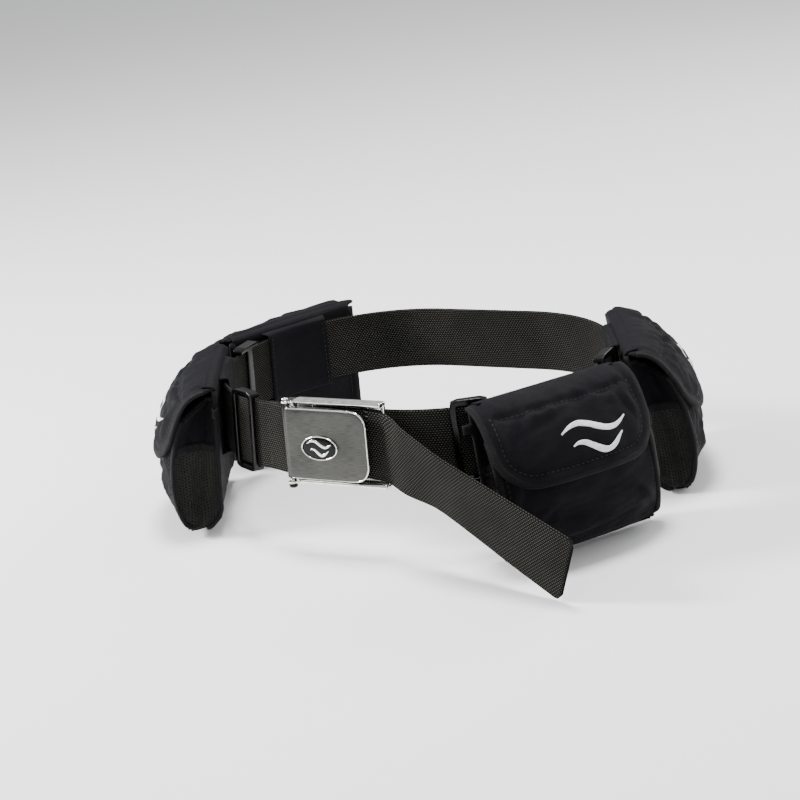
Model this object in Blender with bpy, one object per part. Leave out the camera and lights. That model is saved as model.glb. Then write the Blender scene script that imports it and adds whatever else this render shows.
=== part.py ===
"""Dive weight belt: 50 mm webbing in its worn loop, a cam-lever buckle, four flap pockets
for lead weights and four slide keepers between them.

Metres, +Z up. The wearer faces -Y, so +X is the wearer's left. The origin is the centre of
the waist loop at the webbing's mid height. Places on the belt are given by u, the arc length
along the webbing's outer face from the middle of the buckle, positive towards the wearer's
left. Each piece sits in a local frame of (along, out, up): along the belt, away from the
wearer, and up the webbing's width.
"""
import math

import bmesh
import bpy
from mathutils import Matrix, Vector

GAP = 0.0003

# Waist loop: straight front and back runs joined by round sides, leaning out at the hips.
WEB_WIDTH = 0.050
WEB_THICK = 0.0023
STRAIGHT_HALF = 0.040
SIDE_RADIUS = 0.115
FLARE = math.radians(6.0)
SIDE_ARC = math.pi * SIDE_RADIUS
HALF_LOOP = 2 * STRAIGHT_HALF + SIDE_ARC
SIDE_STEPS = 30

# Buckle, in its local frame.
FRAME_LEFT = -0.039
FRAME_RIGHT = 0.041
WALL_INNER = 0.028
WALL_OUTER = 0.031
WALL_RISE = 0.0085
EAR_RISE = 0.0135
EAR_END = -0.0305
BASE_LOW = 0.0005
BASE_HIGH = 0.0017
BASE_MID = (BASE_LOW + BASE_HIGH) / 2
END_BAR_ALONG = -0.037
END_BAR_RADIUS = 0.0018
BASE_LEFT = -0.032
SLOT_LEFT = -0.0195
SLOT_RIGHT = -0.0145
TURN_ALONG = -0.0140
PIN_ALONG = -0.0360
PIN_OUT = 0.0105
PIN_RADIUS = 0.0013
PIN_HEAD_RADIUS = 0.0023
KNUCKLE_RADIUS = 0.0029
LEVER_THICK = 0.0012
LEVER_TOP = PIN_OUT + KNUCKLE_RADIUS
LEVER_RIGHT = 0.031
LEVER_HALF = 0.0255
LEVER_CORNER = 0.012
CAM_LEFT = -0.0135
CAM_RIGHT = -0.0075
EMBLEM_ALONG = -0.008
EMBLEM_UP = -0.002
EMBLEM_HALF_LONG = 0.0145
EMBLEM_HALF_TALL = 0.0095
BEZEL_WIDTH = 0.0014

# Keepers: a slide with two bars in front of the webbing and one behind it.
KEEPER_HALF_LONG = 0.014
KEEPER_HALF_TALL = 0.030
KEEPER_BAR = 0.0048
KEEPER_FRONT = 0.0028
KEEPER_BACK = -0.0052
KEEPERS = (("left_front", 0.1025), ("left_rear", 0.2320),
           ("right_front", -0.0885), ("right_rear", -0.2165))

# Pockets: name, place along the belt, how far the pocket hangs below its neighbours.
POCKETS = (("left_front", 0.155, 0.0), ("left_rear", 0.285, 0.003),
           ("right_front", -0.160, 0.0), ("right_rear", -0.272, 0.0))
POCKET_HALF = 0.0600
BACK_HALF = 0.0550
FLAP_HALF = 0.0615
FABRIC = 0.0015
BACK_OUT = 0.0010
BACK_TOP = 0.0282
BELLY_UP = -0.040
BELLY_OUT = 0.0495
TOP_RISE = 0.0655
TOP_ROOT = 0.010
BOTTOM_DROP = 0.039
BOTTOM_ROOT = 0.028
POCKET_BOTTOM = BELLY_UP - BOTTOM_DROP
POCKET_CORNER = 0.008
CROWN = 0.28            # share of its depth that the front loses at the sides
CROWN_POWER = 2.5
MOUTH_ANGLE = 47
HEM_UP = -0.017
PATCH = 0.0010
PATCH_HALF = 0.036
PATCH_ANGLES = (15, 19, 23, 27, 31, 35, 39)
FLAP_LAYER = 2 * PATCH + 3 * GAP
FLAP_ANGLES = (11.5, 12.5, 14, 17, 21, 26, 32, 38, 44, 50, 57, 64, 72, 81, 90)
FLAP_CORNER = 0.024
FLAP_HINGE_OUT = 0.0030
FLAP_BACK_OUT = 0.0037
SLEEVE_HALF = 0.028
SLEEVE_INNER_UP = 0.0283
SLEEVE_OUTER_UP = 0.0298

# Free tail: centre line points in world axes, and the strap's roll about it in degrees.
TAIL_START = 0.026
TAIL_OUT = 0.00335
TAIL_POINTS = ((0.0365, -0.1191, -0.0005, 6), (0.0461, -0.1229, -0.0018, 4),
               (0.0625, -0.1308, -0.0069, -2), (0.0884, -0.1382, -0.0149, -12),
               (0.1206, -0.1470, -0.0275, -10), (0.1575, -0.1566, -0.0430, -5),
               (0.1969, -0.1666, -0.0593, 0))
TAIL_STEPS = 40


def clear_scene():
    for old in list(bpy.data.objects):
        bpy.data.objects.remove(old, do_unlink=True)


def material(name, colour, roughness, metallic=0.0):
    found = bpy.data.materials.new(name)
    found.use_nodes = True
    shader = found.node_tree.nodes["Principled BSDF"]
    shader.inputs["Base Color"].default_value = (*colour, 1.0)
    shader.inputs["Roughness"].default_value = roughness
    shader.inputs["Metallic"].default_value = metallic
    return found


NYLON = ((0.035, 0.035, 0.040), 0.85)
WEBBING = ((0.045, 0.044, 0.042), 0.80)
HOOK_AND_LOOP = ((0.020, 0.020, 0.022), 0.95)
PLASTIC = ((0.015, 0.015, 0.016), 0.30)
STEEL = ((0.55, 0.54, 0.51), 0.32, 1.0)
CHROME = ((0.80, 0.80, 0.80), 0.10, 1.0)
ENAMEL = ((0.010, 0.010, 0.012), 0.20)


# Places on the belt.

def loop_point(u):
    """Plan position and outward normal of the webbing's outer face at arc length u."""
    side = 1.0 if u >= 0 else -1.0
    run = abs(u)
    if run <= STRAIGHT_HALF:
        return side * run, -SIDE_RADIUS, 0.0, -1.0
    if run >= STRAIGHT_HALF + SIDE_ARC:
        return side * (HALF_LOOP - run), SIDE_RADIUS, 0.0, 1.0
    turn = (run - STRAIGHT_HALF) / SIDE_RADIUS
    across, ahead = math.sin(turn), -math.cos(turn)
    return side * (STRAIGHT_HALF + SIDE_RADIUS * across), SIDE_RADIUS * ahead, side * across, ahead


def belt_point(u, out, up):
    """World point that is out from the webbing's outer face and up its width, at u."""
    x, y, normal_x, normal_y = loop_point(u)
    away = out * math.cos(FLARE) - up * math.sin(FLARE)
    return Vector((x + normal_x * away, y + normal_y * away,
                   up * math.cos(FLARE) + out * math.sin(FLARE)))


def seat(u):
    """Local frame at u: x along the belt, y towards the wearer, z up the webbing's width."""
    x, y, normal_x, normal_y = loop_point(u)
    cos, sin = math.cos(FLARE), math.sin(FLARE)
    along = (-normal_y, normal_x, 0.0)
    inward = (-normal_x * cos, -normal_y * cos, -sin)
    upward = (-normal_x * sin, -normal_y * sin, cos)
    columns = Matrix((along, inward, upward)).transposed().to_4x4()
    return Matrix.Translation((x, y, 0.0)) @ columns


def local(along, out, up):
    return Vector((along, -out, up))


# Mesh and object helpers.

def loft(rows):
    """Closed solid through equally long loops of points, capped at both ends."""
    mesh = bmesh.new()
    loops = [[mesh.verts.new(point) for point in row] for row in rows]
    count = len(rows[0])
    for near, far in zip(loops[:-1], loops[1:]):
        for k in range(count):
            n = (k + 1) % count
            mesh.faces.new((near[k], near[n], far[n], far[k]))
    mesh.faces.new(loops[0])
    mesh.faces.new(loops[-1])
    bmesh.ops.recalc_face_normals(mesh, faces=mesh.faces)
    return mesh


def block(low, high):
    """Box between two local corners, given as (along, out, up)."""
    mesh = bmesh.new()
    bmesh.ops.create_cube(mesh, size=1.0)
    start, end = local(*low), local(*high)
    size = end - start
    for vert in mesh.verts:
        vert.co = (start + end) / 2 + Vector(a * abs(b) for a, b in zip(vert.co, size))
    return mesh


def rod(along, out, radius, half_length, sides=20):
    """Round rod lying across the belt's width."""
    mesh = bmesh.new()
    bmesh.ops.create_cone(mesh, cap_ends=True, segments=sides, radius1=radius, radius2=radius,
                          depth=2 * half_length)
    bmesh.ops.translate(mesh, verts=mesh.verts, vec=local(along, out, 0.0))
    return mesh


def extrude_outline(points, low, high):
    """Solid from an (along, out) outline, between two heights up the webbing's width."""
    return loft([[local(along, out, up) for along, out in points] for up in (low, high)])


def make(name, mesh, look, matrix=None, smooth=None):
    data = bpy.data.meshes.new(name)
    mesh.to_mesh(data)
    mesh.free()
    made = bpy.data.objects.new(name, data)
    bpy.context.collection.objects.link(made)
    if look:
        data.materials.append(material(name, *look))
    if matrix is not None:
        made.matrix_world = matrix
    if smooth:
        data.shade_smooth()
        data.set_sharp_from_angle(angle=math.radians(smooth))
    return made


def tool(name, mesh, matrix):
    """Hidden helper for a Boolean."""
    made = make(name, mesh, None, matrix)
    made.hide_render = True
    made.display_type = "WIRE"
    return made


def boolean(target, other, operation="DIFFERENCE"):
    step = target.modifiers.new(other.name, "BOOLEAN")
    step.operation = operation
    step.object = other
    step.solver = "EXACT"


def round_edges(target, width, segments=2, angle=40):
    step = target.modifiers.new("round", "BEVEL")
    step.width = width
    step.segments = segments
    step.limit_method = "ANGLE"
    step.angle_limit = math.radians(angle)
    step.use_clamp_overlap = True


def axis_empty(name, matrix):
    made = bpy.data.objects.new(name, None)
    bpy.context.collection.objects.link(made)
    made.matrix_world = matrix
    return made


def hang(child, parent):
    """Parent without moving the child."""
    child.parent = parent
    child.matrix_parent_inverse = parent.matrix_world.inverted()


def shifted(mesh, offset):
    bmesh.ops.translate(mesh, verts=mesh.verts, vec=offset)
    return mesh


# Webbing.

def turn_points(along, out, radius, start, end, steps=8):
    """Centre line of the webbing as it turns round a bar."""
    angles = [math.radians(start + (end - start) * k / steps) for k in range(steps + 1)]
    return [(along + radius * math.cos(a), out + radius * math.sin(a)) for a in angles]


def webbing_line():
    """Centre line as (u, out), from the sewn end, round the waist and through the buckle."""
    middle = -WEB_THICK / 2
    end_turn = END_BAR_RADIUS + GAP + WEB_THICK / 2
    slot_turn = BASE_MID - middle
    line = [(-0.062, middle - WEB_THICK - GAP), (-0.052, middle - WEB_THICK - GAP),
            (-0.044, BASE_MID - end_turn - 0.0008)]
    line += turn_points(END_BAR_ALONG, BASE_MID, end_turn, -90, 90)
    line += [(-0.044, 0.0034), (-0.050, 0.0014), (-0.056, -0.0004), (-0.062, middle)]
    arc_start = STRAIGHT_HALF + SIDE_ARC
    line += [(-0.062 + (0.062 - arc_start) * k / SIDE_STEPS, middle)
             for k in range(1, SIDE_STEPS + 1)]
    line += [(-HALF_LOOP, middle)]
    line += [(arc_start - SIDE_ARC * k / SIDE_STEPS, middle) for k in range(SIDE_STEPS + 1)]
    line += [(TURN_ALONG + 0.004, middle)]
    line += turn_points(TURN_ALONG, BASE_MID, slot_turn, 270, 90)
    line += [(TURN_ALONG + 0.004, BASE_MID + slot_turn), (TAIL_START - GAP, TAIL_OUT)]
    return line


def belt_webbing():
    line = webbing_line()
    rows = []
    for k, (u, out) in enumerate(line):
        before, after = line[max(k - 1, 0)], line[min(k + 1, len(line) - 1)]
        step_u, step_out = after[0] - before[0], after[1] - before[1]
        if abs(step_u) > HALF_LOOP:
            step_u, step_out = -1.0, 0.0
        length = math.hypot(step_u, step_out)
        side_u, side_out = -step_out / length * WEB_THICK / 2, step_u / length * WEB_THICK / 2
        half = WEB_WIDTH / 2
        rows.append([belt_point(u + side_u, out + side_out, -half),
                     belt_point(u + side_u, out + side_out, half),
                     belt_point(u - side_u, out - side_out, half),
                     belt_point(u - side_u, out - side_out, -half)])
    return make("belt_webbing", loft(rows), WEBBING, smooth=35)


def smooth_path(points, steps):
    """Points along a Catmull-Rom curve through the given points."""
    padded = [2 * points[0] - points[1], *points, 2 * points[-1] - points[-2]]
    spans = len(points) - 1
    path = []
    for k in range(steps + 1):
        place = min(k * spans / steps, spans - 1e-9)
        n = int(place)
        t = place - n
        a, b, c, d = padded[n:n + 4]
        path.append(0.5 * (2 * b + (c - a) * t + (2 * a - 5 * b + 4 * c - d) * t * t
                           + (3 * b - a - 3 * c + d) * t ** 3))
    return path


def belt_tail():
    """Loose end of the webbing, drooping and rolling face up as it leaves the buckle."""
    hinge = seat(0.0) @ Matrix.Translation(local(TAIL_START, TAIL_OUT + WEB_THICK / 2, 0.0))
    start = seat(0.0) @ local(TAIL_START, TAIL_OUT, 0.0)
    knots = [Vector((*start, math.degrees(FLARE))), *(Vector(point) for point in TAIL_POINTS)]
    path = smooth_path(knots, TAIL_STEPS)
    rows = []
    for k, point in enumerate(path):
        ahead = (path[min(k + 1, TAIL_STEPS)] - path[max(k - 1, 0)]).to_3d().normalized()
        if k == 0:
            ahead = Vector((1.0, 0.0, 0.0))
        level = ahead.cross(Vector((0.0, 0.0, 1.0))).normalized()
        roll = math.radians(point[3])
        upright = level.cross(ahead)
        across = upright * math.cos(roll) - level * math.sin(roll)
        thick = across.cross(ahead) * WEB_THICK / 2
        top = point.to_3d() + across * WEB_WIDTH / 2
        low = point.to_3d() - across * WEB_WIDTH / 2
        rows.append([low - thick, top - thick, top + thick, low + thick])
    back = hinge.inverted()
    rows = [[back @ point for point in row] for row in rows]
    return make("belt_tail", loft(rows), WEBBING, hinge, smooth=35)


# Buckle.

def buckle_frame():
    place = seat(0.0)
    wall = [(FRAME_LEFT, BASE_LOW - 0.001), (FRAME_RIGHT, BASE_LOW - 0.001),
            (FRAME_RIGHT, WALL_RISE - 0.003), (FRAME_RIGHT - 0.004, WALL_RISE),
            (EAR_END, WALL_RISE), (EAR_END - 0.002, EAR_RISE), (FRAME_LEFT, EAR_RISE)]
    base = block((BASE_LEFT, BASE_LOW, -WALL_INNER - 0.001),
                 (FRAME_RIGHT - 0.001, BASE_HIGH, WALL_INNER + 0.001))
    frame = make("buckle_frame", base, STEEL, place)
    slot = block((SLOT_LEFT, -0.01, -0.0258), (SLOT_RIGHT, 0.01, 0.0258))
    boolean(frame, tool("strap_slot", slot, place))
    for side, low, high in (("lower", -WALL_OUTER, -WALL_INNER), ("upper", WALL_INNER, WALL_OUTER)):
        boolean(frame, tool(f"{side}_wall", extrude_outline(wall, low, high), place), "UNION")
    bar = rod(END_BAR_ALONG, BASE_MID, END_BAR_RADIUS, WALL_INNER + 0.001, 16)
    boolean(frame, tool("end_bar", bar, place), "UNION")
    pin_hole = rod(PIN_ALONG, PIN_OUT, PIN_RADIUS + GAP, 0.04, 16)
    boolean(frame, tool("pin_hole", pin_hole, place))
    return frame


def buckle_hinge_pin():
    """Pin with a rivet head outside each wall of the frame."""
    place = seat(0.0)
    pin = make("buckle_hinge_pin", rod(PIN_ALONG, PIN_OUT, PIN_RADIUS, WALL_OUTER + 0.001, 16),
               CHROME, place, smooth=35)
    head_from = WALL_OUTER + GAP
    for side in (-1, 1):
        head = bmesh.new()
        bmesh.ops.create_cone(head, cap_ends=True, segments=16, radius1=PIN_HEAD_RADIUS,
                              radius2=PIN_HEAD_RADIUS, depth=0.001)
        shifted(head, local(PIN_ALONG, PIN_OUT, side * (head_from + 0.0005)))
        boolean(pin, tool(f"pin_head_{side}", head, place), "UNION")
    return pin


def lever_plate():
    """Plate outline with its free corners rounded, as a solid."""
    right, half, r = LEVER_RIGHT, LEVER_HALF, LEVER_CORNER
    outline = [(PIN_ALONG, -half)]
    for centre_up, start in ((-half + r, -90), (half - r, 0)):
        for k in range(7):
            a = math.radians(start + 15 * k)
            outline.append((right - r + r * math.cos(a), centre_up + r * math.sin(a)))
    outline.append((PIN_ALONG, half))
    return loft([[local(along, out, up) for along, up in outline]
                 for out in (LEVER_TOP - LEVER_THICK, LEVER_TOP)])


def buckle_lever():
    """Lever tray: plate, side flanges, rolled knuckle and the cam that grips the strap."""
    hinge = seat(0.0) @ Matrix.Translation(local(PIN_ALONG, PIN_OUT, 0.0))
    offset = -local(PIN_ALONG, PIN_OUT, 0.0)
    lever = make("buckle_lever", shifted(lever_plate(), offset), STEEL, hinge, smooth=30)
    under = LEVER_TOP - LEVER_THICK / 2
    flange = [(-0.0310, 0.0062), (-0.0050, 0.0062), (0.0160, 0.0105), (0.0160, under),
              (-0.0310, under)]
    for side, low, high in (("lower", -LEVER_HALF, -LEVER_HALF + LEVER_THICK),
                            ("upper", LEVER_HALF - LEVER_THICK, LEVER_HALF)):
        boolean(lever, tool(f"{side}_flange", shifted(extrude_outline(flange, low, high), offset),
                            hinge), "UNION")
    cam_foot = TAIL_OUT + WEB_THICK / 2 + GAP
    cam = block((CAM_LEFT, cam_foot, -0.0225), (CAM_RIGHT, under, 0.0225))
    boolean(lever, tool("cam", shifted(cam, offset), hinge), "UNION")
    knuckle = rod(0.0, 0.0, KNUCKLE_RADIUS, LEVER_HALF, 24)
    boolean(lever, tool("knuckle", knuckle, hinge), "UNION")
    boolean(lever, tool("knuckle_bore", rod(0.0, 0.0, PIN_RADIUS + GAP, 0.04, 16), hinge))
    return lever


def oval(half_long, half_tall, count=32):
    turns = [2 * math.pi * k / count for k in range(count)]
    return [(half_long * math.cos(a), half_tall * math.sin(a)) for a in turns]


def oval_disc(half_long, half_tall, low, high):
    points = oval(half_long, half_tall)
    return loft([[local(EMBLEM_ALONG + along, out, EMBLEM_UP + up) for along, up in points]
                 for out in (low, high)])


def emblem():
    """Plain oval badge: a chrome rim round a dark enamel plate."""
    place = seat(0.0)
    low = LEVER_TOP + GAP
    bezel = make("emblem_bezel", oval_disc(EMBLEM_HALF_LONG, EMBLEM_HALF_TALL, low, low + 0.0012),
                 CHROME, place, smooth=35)
    inner_long, inner_tall = EMBLEM_HALF_LONG - BEZEL_WIDTH, EMBLEM_HALF_TALL - BEZEL_WIDTH
    boolean(bezel, tool("emblem_opening", oval_disc(inner_long, inner_tall, 0.0, 0.03), place))
    plate = make("emblem_plate", oval_disc(inner_long - GAP, inner_tall - GAP, low, low + 0.0008),
                 ENAMEL, place, smooth=35)
    return bezel, plate


# Keepers.

def keeper(name, u):
    place = seat(u)
    long, tall, bar = KEEPER_HALF_LONG, KEEPER_HALF_TALL, KEEPER_BAR
    slide = make(f"keeper_{name}", block((-long, KEEPER_BACK, -tall), (long, KEEPER_FRONT, tall)),
                 PLASTIC, place)
    round_edges(slide, 0.003, 2)
    channel_half = WEB_WIDTH / 2 + 0.0008
    channel = block((-0.05, -WEB_THICK - GAP - 0.0001, -channel_half), (0.05, 0.0, channel_half))
    window = block((-long + bar, -0.001, -channel_half), (long - bar, 0.02, channel_half))
    boolean(slide, tool(f"keeper_{name}_channel", channel, place))
    boolean(slide, tool(f"keeper_{name}_window", window, place))
    for side in (-1, 1):
        low, high = sorted((side * (bar - 0.001), side * 0.05))
        relief = block((low, -0.02, -channel_half), (high, -WEB_THICK, channel_half))
        boolean(slide, tool(f"keeper_{name}_relief_{side}", relief, place))
    return slide


# Pockets, in a frame whose plane touches the belt at the pocket's middle.

def outline(layer, angle):
    """Point (out, up) on the pocket's middle section, layer out from the front panel's face.

    The angle runs from -90 at the bottom, over 0 at the belly, to 90 at the top."""
    a = math.radians(angle)
    root, rise = (TOP_ROOT, TOP_RISE) if angle > 0 else (BOTTOM_ROOT, BOTTOM_DROP)
    return (root + (BELLY_OUT - root + layer) * math.cos(a), BELLY_UP + (rise + layer) * math.sin(a))


def crowned(along, out):
    """Depth at a distance from the pocket's middle, where a middle point is out deep."""
    return BACK_OUT + (out - BACK_OUT) * (1.0 - CROWN * abs(along / POCKET_HALF) ** CROWN_POWER)


def side_depth(up):
    """How far out the gusset reaches at a height."""
    rise, root = (TOP_RISE, TOP_ROOT) if up > BELLY_UP else (BOTTOM_DROP, BOTTOM_ROOT)
    share = min(1.0, abs(up - BELLY_UP) / (rise - FABRIC - GAP))
    middle = root + (BELLY_OUT - root - FABRIC - GAP) * math.sqrt(1.0 - share * share)
    return crowned(POCKET_HALF, middle)


def rounded_half(half, radius, from_edge):
    """Half width of a panel with rounded corners, at a distance from its end."""
    if from_edge >= radius:
        return half
    return half - radius + math.sqrt(max(0.0, radius ** 2 - (radius - from_edge) ** 2))


def across(half):
    """Places along the belt where a sheet bends, the same on every sheet as far as the patches."""
    right = [PATCH_HALF / 2, PATCH_HALF]
    if half > PATCH_HALF:
        right += [(PATCH_HALF + half) / 2, half]
    return [-a for a in reversed(right)] + [0.0] + right


def sheet(stations):
    """Crowned sheet through stations of (half width, inner point, outer point), as (out, up)."""
    rows = []
    for half, inner, outer in stations:
        near = [local(a, crowned(a, inner[0]), inner[1]) for a in across(half)]
        far = [local(a, crowned(a, outer[0]), outer[1]) for a in reversed(across(half))]
        rows.append(near + far)
    return loft(rows)


def back_panel(name, place):
    rows = []
    for from_edge in (0.0, 0.0007, 0.0023, 0.0052, POCKET_CORNER, BACK_TOP - POCKET_BOTTOM):
        up = POCKET_BOTTOM + from_edge
        half = rounded_half(BACK_HALF, POCKET_CORNER, from_edge)
        rows.append([local(-half, BACK_OUT, up), local(half, BACK_OUT, up),
                     local(half, BACK_OUT + FABRIC, up), local(-half, BACK_OUT + FABRIC, up)])
    return make(f"pocket_{name}_back_panel", loft(rows), NYLON, place)


def front_panel(name, place):
    """Front of the pocket, in one piece with its bottom."""
    start_out = BACK_OUT + FABRIC + GAP
    half = rounded_half(BACK_HALF, POCKET_CORNER, 0.0)
    stations = [(half, (start_out, POCKET_BOTTOM + FABRIC), (start_out, POCKET_BOTTOM))]
    for angle in (*range(-90, -50, 8), *range(-50, 0, 10), *range(0, MOUTH_ANGLE, 9), MOUTH_ANGLE):
        outer = outline(0.0, angle)
        half = rounded_half(POCKET_HALF, POCKET_CORNER, outer[1] - POCKET_BOTTOM)
        stations.append((half, outline(-FABRIC, angle), outer))
    return make(f"pocket_{name}_front_panel", sheet(stations), NYLON, place, smooth=35)


def gusset(name, place):
    """Side and bottom band between the back and front panels, open above its hems."""
    low, r = POCKET_BOTTOM + FABRIC + 2 * GAP, POCKET_CORNER - 0.001
    corners = [(side, math.radians(start + 18 * k))
               for side, start in ((-1, 180), (1, 270)) for k in range(6)]
    back = BACK_OUT + FABRIC + GAP
    rows = []
    for side, a, up in ([(-1, math.pi, HEM_UP), (-1, math.pi, -0.04)]
                        + [(side, a, low + r + r * math.sin(a)) for side, a in corners]
                        + [(1, 0.0, -0.04), (1, 0.0, HEM_UP)]):
        inner_up = up - FABRIC * math.sin(a)
        row = []
        for half, inner in ((BACK_HALF, False), (POCKET_HALF - 0.001, False),
                            (POCKET_HALF - 0.001, True), (BACK_HALF, True)):
            along = side * (half - r) + (r - (FABRIC if inner else 0.0)) * math.cos(a)
            height = inner_up if inner else up
            row.append(local(along, back if half == BACK_HALF else side_depth(height), height))
        rows.append(row)
    return make(f"pocket_{name}_gusset", loft(rows), NYLON, place, smooth=35)


def patch(name, place, layer, offset=None):
    """Strip of hook or loop tape that follows the front."""
    mesh = sheet([(PATCH_HALF, outline(layer, angle), outline(layer + PATCH, angle))
                  for angle in PATCH_ANGLES])
    if offset is not None:
        shifted(mesh, offset)
    return make(name, mesh, HOOK_AND_LOOP, place, smooth=35)


def flap(name, hinge, offset):
    """Flap from the top of the back panel, over the mouth and down the front."""
    outer_layer = FLAP_LAYER + FABRIC
    end = outline(outer_layer, FLAP_ANGLES[0])[1]
    stations = []
    for angle in FLAP_ANGLES:
        outer = outline(outer_layer, angle)
        half = rounded_half(FLAP_HALF, FLAP_CORNER, outer[1] - end)
        stations.append((half, outline(FLAP_LAYER, angle), outer))
    top = BELLY_UP + TOP_RISE
    back = (FLAP_BACK_OUT - BACK_OUT) / (1.0 - CROWN) + BACK_OUT
    stations.append((BACK_HALF, (back, top + FLAP_LAYER), (back, top + outer_layer)))
    return make(f"pocket_{name}_flap", shifted(sheet(stations), offset), NYLON, hinge, smooth=35)


def sleeve(name, u, drop):
    """Tunnel on the pocket's back that the webbing runs through."""
    place = seat(u) @ Matrix.Translation((0.0, 0.0, -drop))
    inner, outer = -WEB_THICK - GAP, -WEB_THICK - GAP - FABRIC
    front = BACK_OUT - GAP
    rows = []
    for k in range(9):
        run = SLEEVE_HALF * (k / 4 - 1)
        along = (SIDE_RADIUS + front) * math.tan(run / SIDE_RADIUS)
        high, low = SLEEVE_OUTER_UP, SLEEVE_INNER_UP
        rows.append([place @ local(along, front, high), place @ local(along, front, low),
                     belt_point(u + run, inner, low - drop), belt_point(u + run, inner, -low - drop),
                     place @ local(along, front, -low), place @ local(along, front, -high),
                     belt_point(u + run, outer, -high - drop),
                     belt_point(u + run, outer, high - drop)])
    return make(f"pocket_{name}_sleeve", loft(rows), NYLON)


def pocket(name, u, drop):
    place = seat(u) @ Matrix.Translation((0.0, 0.0, -drop))
    flap_hinge_up = BELLY_UP + TOP_RISE + FLAP_LAYER + FABRIC / 2
    hinge_offset = local(0.0, FLAP_HINGE_OUT, flap_hinge_up)
    hinge = place @ Matrix.Translation(hinge_offset)
    fixed = [back_panel(name, place), front_panel(name, place), gusset(name, place),
             patch(f"pocket_{name}_loop_patch", place, GAP), sleeve(name, u, drop)]
    lid = flap(name, hinge, -hinge_offset)
    hooks = patch(f"pocket_{name}_hook_patch", hinge, PATCH + 2 * GAP, -hinge_offset)
    return fixed, lid, hooks


def slide_axis(name, u):
    """Empty on the upright axis of the side arc that a sliding piece travels round."""
    side = 1.0 if u > 0 else -1.0
    return axis_empty(name, Matrix.Translation((side * STRAIGHT_HALF, 0.0, 0.0)))


def build():
    clear_scene()
    belt_webbing()
    belt_tail()
    buckle_frame()
    buckle_hinge_pin()
    lever = buckle_lever()
    bpy.context.view_layer.update()
    for badge in emblem():
        hang(badge, lever)
    for name, u in KEEPERS:
        hang(keeper(name, u), slide_axis(f"keeper_{name}_slide_axis", u))
    for name, u, drop in POCKETS:
        axis = slide_axis(f"pocket_{name}_slide_axis", u)
        fixed, lid, hooks = pocket(name, u, drop)
        bpy.context.view_layer.update()
        for piece in (*fixed, lid):
            hang(piece, axis)
        hang(hooks, lid)
    bpy.context.view_layer.update()


build()
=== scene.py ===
"""Looks of the dive weight belt: woven webbing, sewn fabric pockets, slide keepers and a steel
cam-lever buckle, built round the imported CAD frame.

Metres, +Z up, and the wearer faces -Y. A place on the belt is u, the arc length along the
webbing's outer face from the middle of the buckle, positive towards the wearer's left. A
piece's own points are (along, out, up): along the belt, away from the wearer, up the webbing.
"""

from math import asin, copysign, cos, degrees, exp, hypot, pi, radians, sin, sqrt, tan

import bmesh
import bpy
from mathutils import Matrix, Vector, noise


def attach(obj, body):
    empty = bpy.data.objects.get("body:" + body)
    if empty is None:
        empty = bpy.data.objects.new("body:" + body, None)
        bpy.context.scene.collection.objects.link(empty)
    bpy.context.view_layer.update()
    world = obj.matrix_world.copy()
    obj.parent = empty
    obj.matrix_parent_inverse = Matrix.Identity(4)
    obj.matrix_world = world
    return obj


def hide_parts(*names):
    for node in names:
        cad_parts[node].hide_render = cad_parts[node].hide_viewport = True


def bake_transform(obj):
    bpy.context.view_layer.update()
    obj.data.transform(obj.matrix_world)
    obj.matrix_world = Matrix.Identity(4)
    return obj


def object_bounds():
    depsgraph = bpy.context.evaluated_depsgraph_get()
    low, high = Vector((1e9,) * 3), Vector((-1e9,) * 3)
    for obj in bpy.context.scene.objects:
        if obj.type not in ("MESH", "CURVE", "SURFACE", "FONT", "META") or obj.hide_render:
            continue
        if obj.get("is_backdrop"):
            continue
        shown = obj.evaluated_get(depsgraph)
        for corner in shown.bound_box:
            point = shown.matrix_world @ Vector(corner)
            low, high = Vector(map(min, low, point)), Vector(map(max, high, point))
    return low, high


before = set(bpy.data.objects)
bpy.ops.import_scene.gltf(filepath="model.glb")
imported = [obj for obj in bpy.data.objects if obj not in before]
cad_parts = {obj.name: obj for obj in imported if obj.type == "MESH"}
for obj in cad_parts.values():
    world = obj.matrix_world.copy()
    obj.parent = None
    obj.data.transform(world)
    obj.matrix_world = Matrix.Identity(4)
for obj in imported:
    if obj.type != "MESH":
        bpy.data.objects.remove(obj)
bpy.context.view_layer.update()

# Waist loop.
WEB_WIDTH, WEB_THICK = 0.050, 0.0023
STRAIGHT_HALF, SIDE_RADIUS = 0.040, 0.115
FLARE = radians(6.0)
SIDE_ARC = pi * SIDE_RADIUS
ARC_START = STRAIGHT_HALF + SIDE_ARC
HALF_LOOP = 2 * STRAIGHT_HALF + SIDE_ARC
GAP = 0.0003            # between neighbouring pieces
SEWN_END = -0.062       # where the strap's doubled end starts

# Buckle.
FRAME_RIGHT, WALL_INNER = 0.041, 0.028
BASE_LEFT, BASE_LOW, BASE_HIGH = -0.032, 0.0005, 0.0017
BASE_MID = (BASE_LOW + BASE_HIGH) / 2
SLOT_LEFT, SLOT_RIGHT, SLOT_HALF = -0.0195, -0.0145, 0.0258
END_BAR_ALONG, END_BAR_RADIUS = -0.037, 0.0018
TURN_ALONG = -0.0140
PIN_ALONG, PIN_OUT, PIN_RADIUS = -0.0360, 0.0105, 0.0013
EAR_RADIUS, KNUCKLE_RADIUS = 0.0031, 0.0029
SHEET_METAL = 0.0012
LEVER_TOP = PIN_OUT + KNUCKLE_RADIUS
LEVER_RIGHT, LEVER_HALF, LEVER_CORNER = 0.031, 0.0255, 0.012
LEVER_BEND = 0.0013
CAM_LEFT, CAM_RIGHT, CAM_HALF, CAM_TEETH = -0.0135, -0.0075, 0.0225, 5
EMBLEM_ALONG, EMBLEM_UP = -0.008, -0.002
EMBLEM_HALF_LONG, EMBLEM_HALF_TALL = 0.0150, 0.0089

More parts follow.
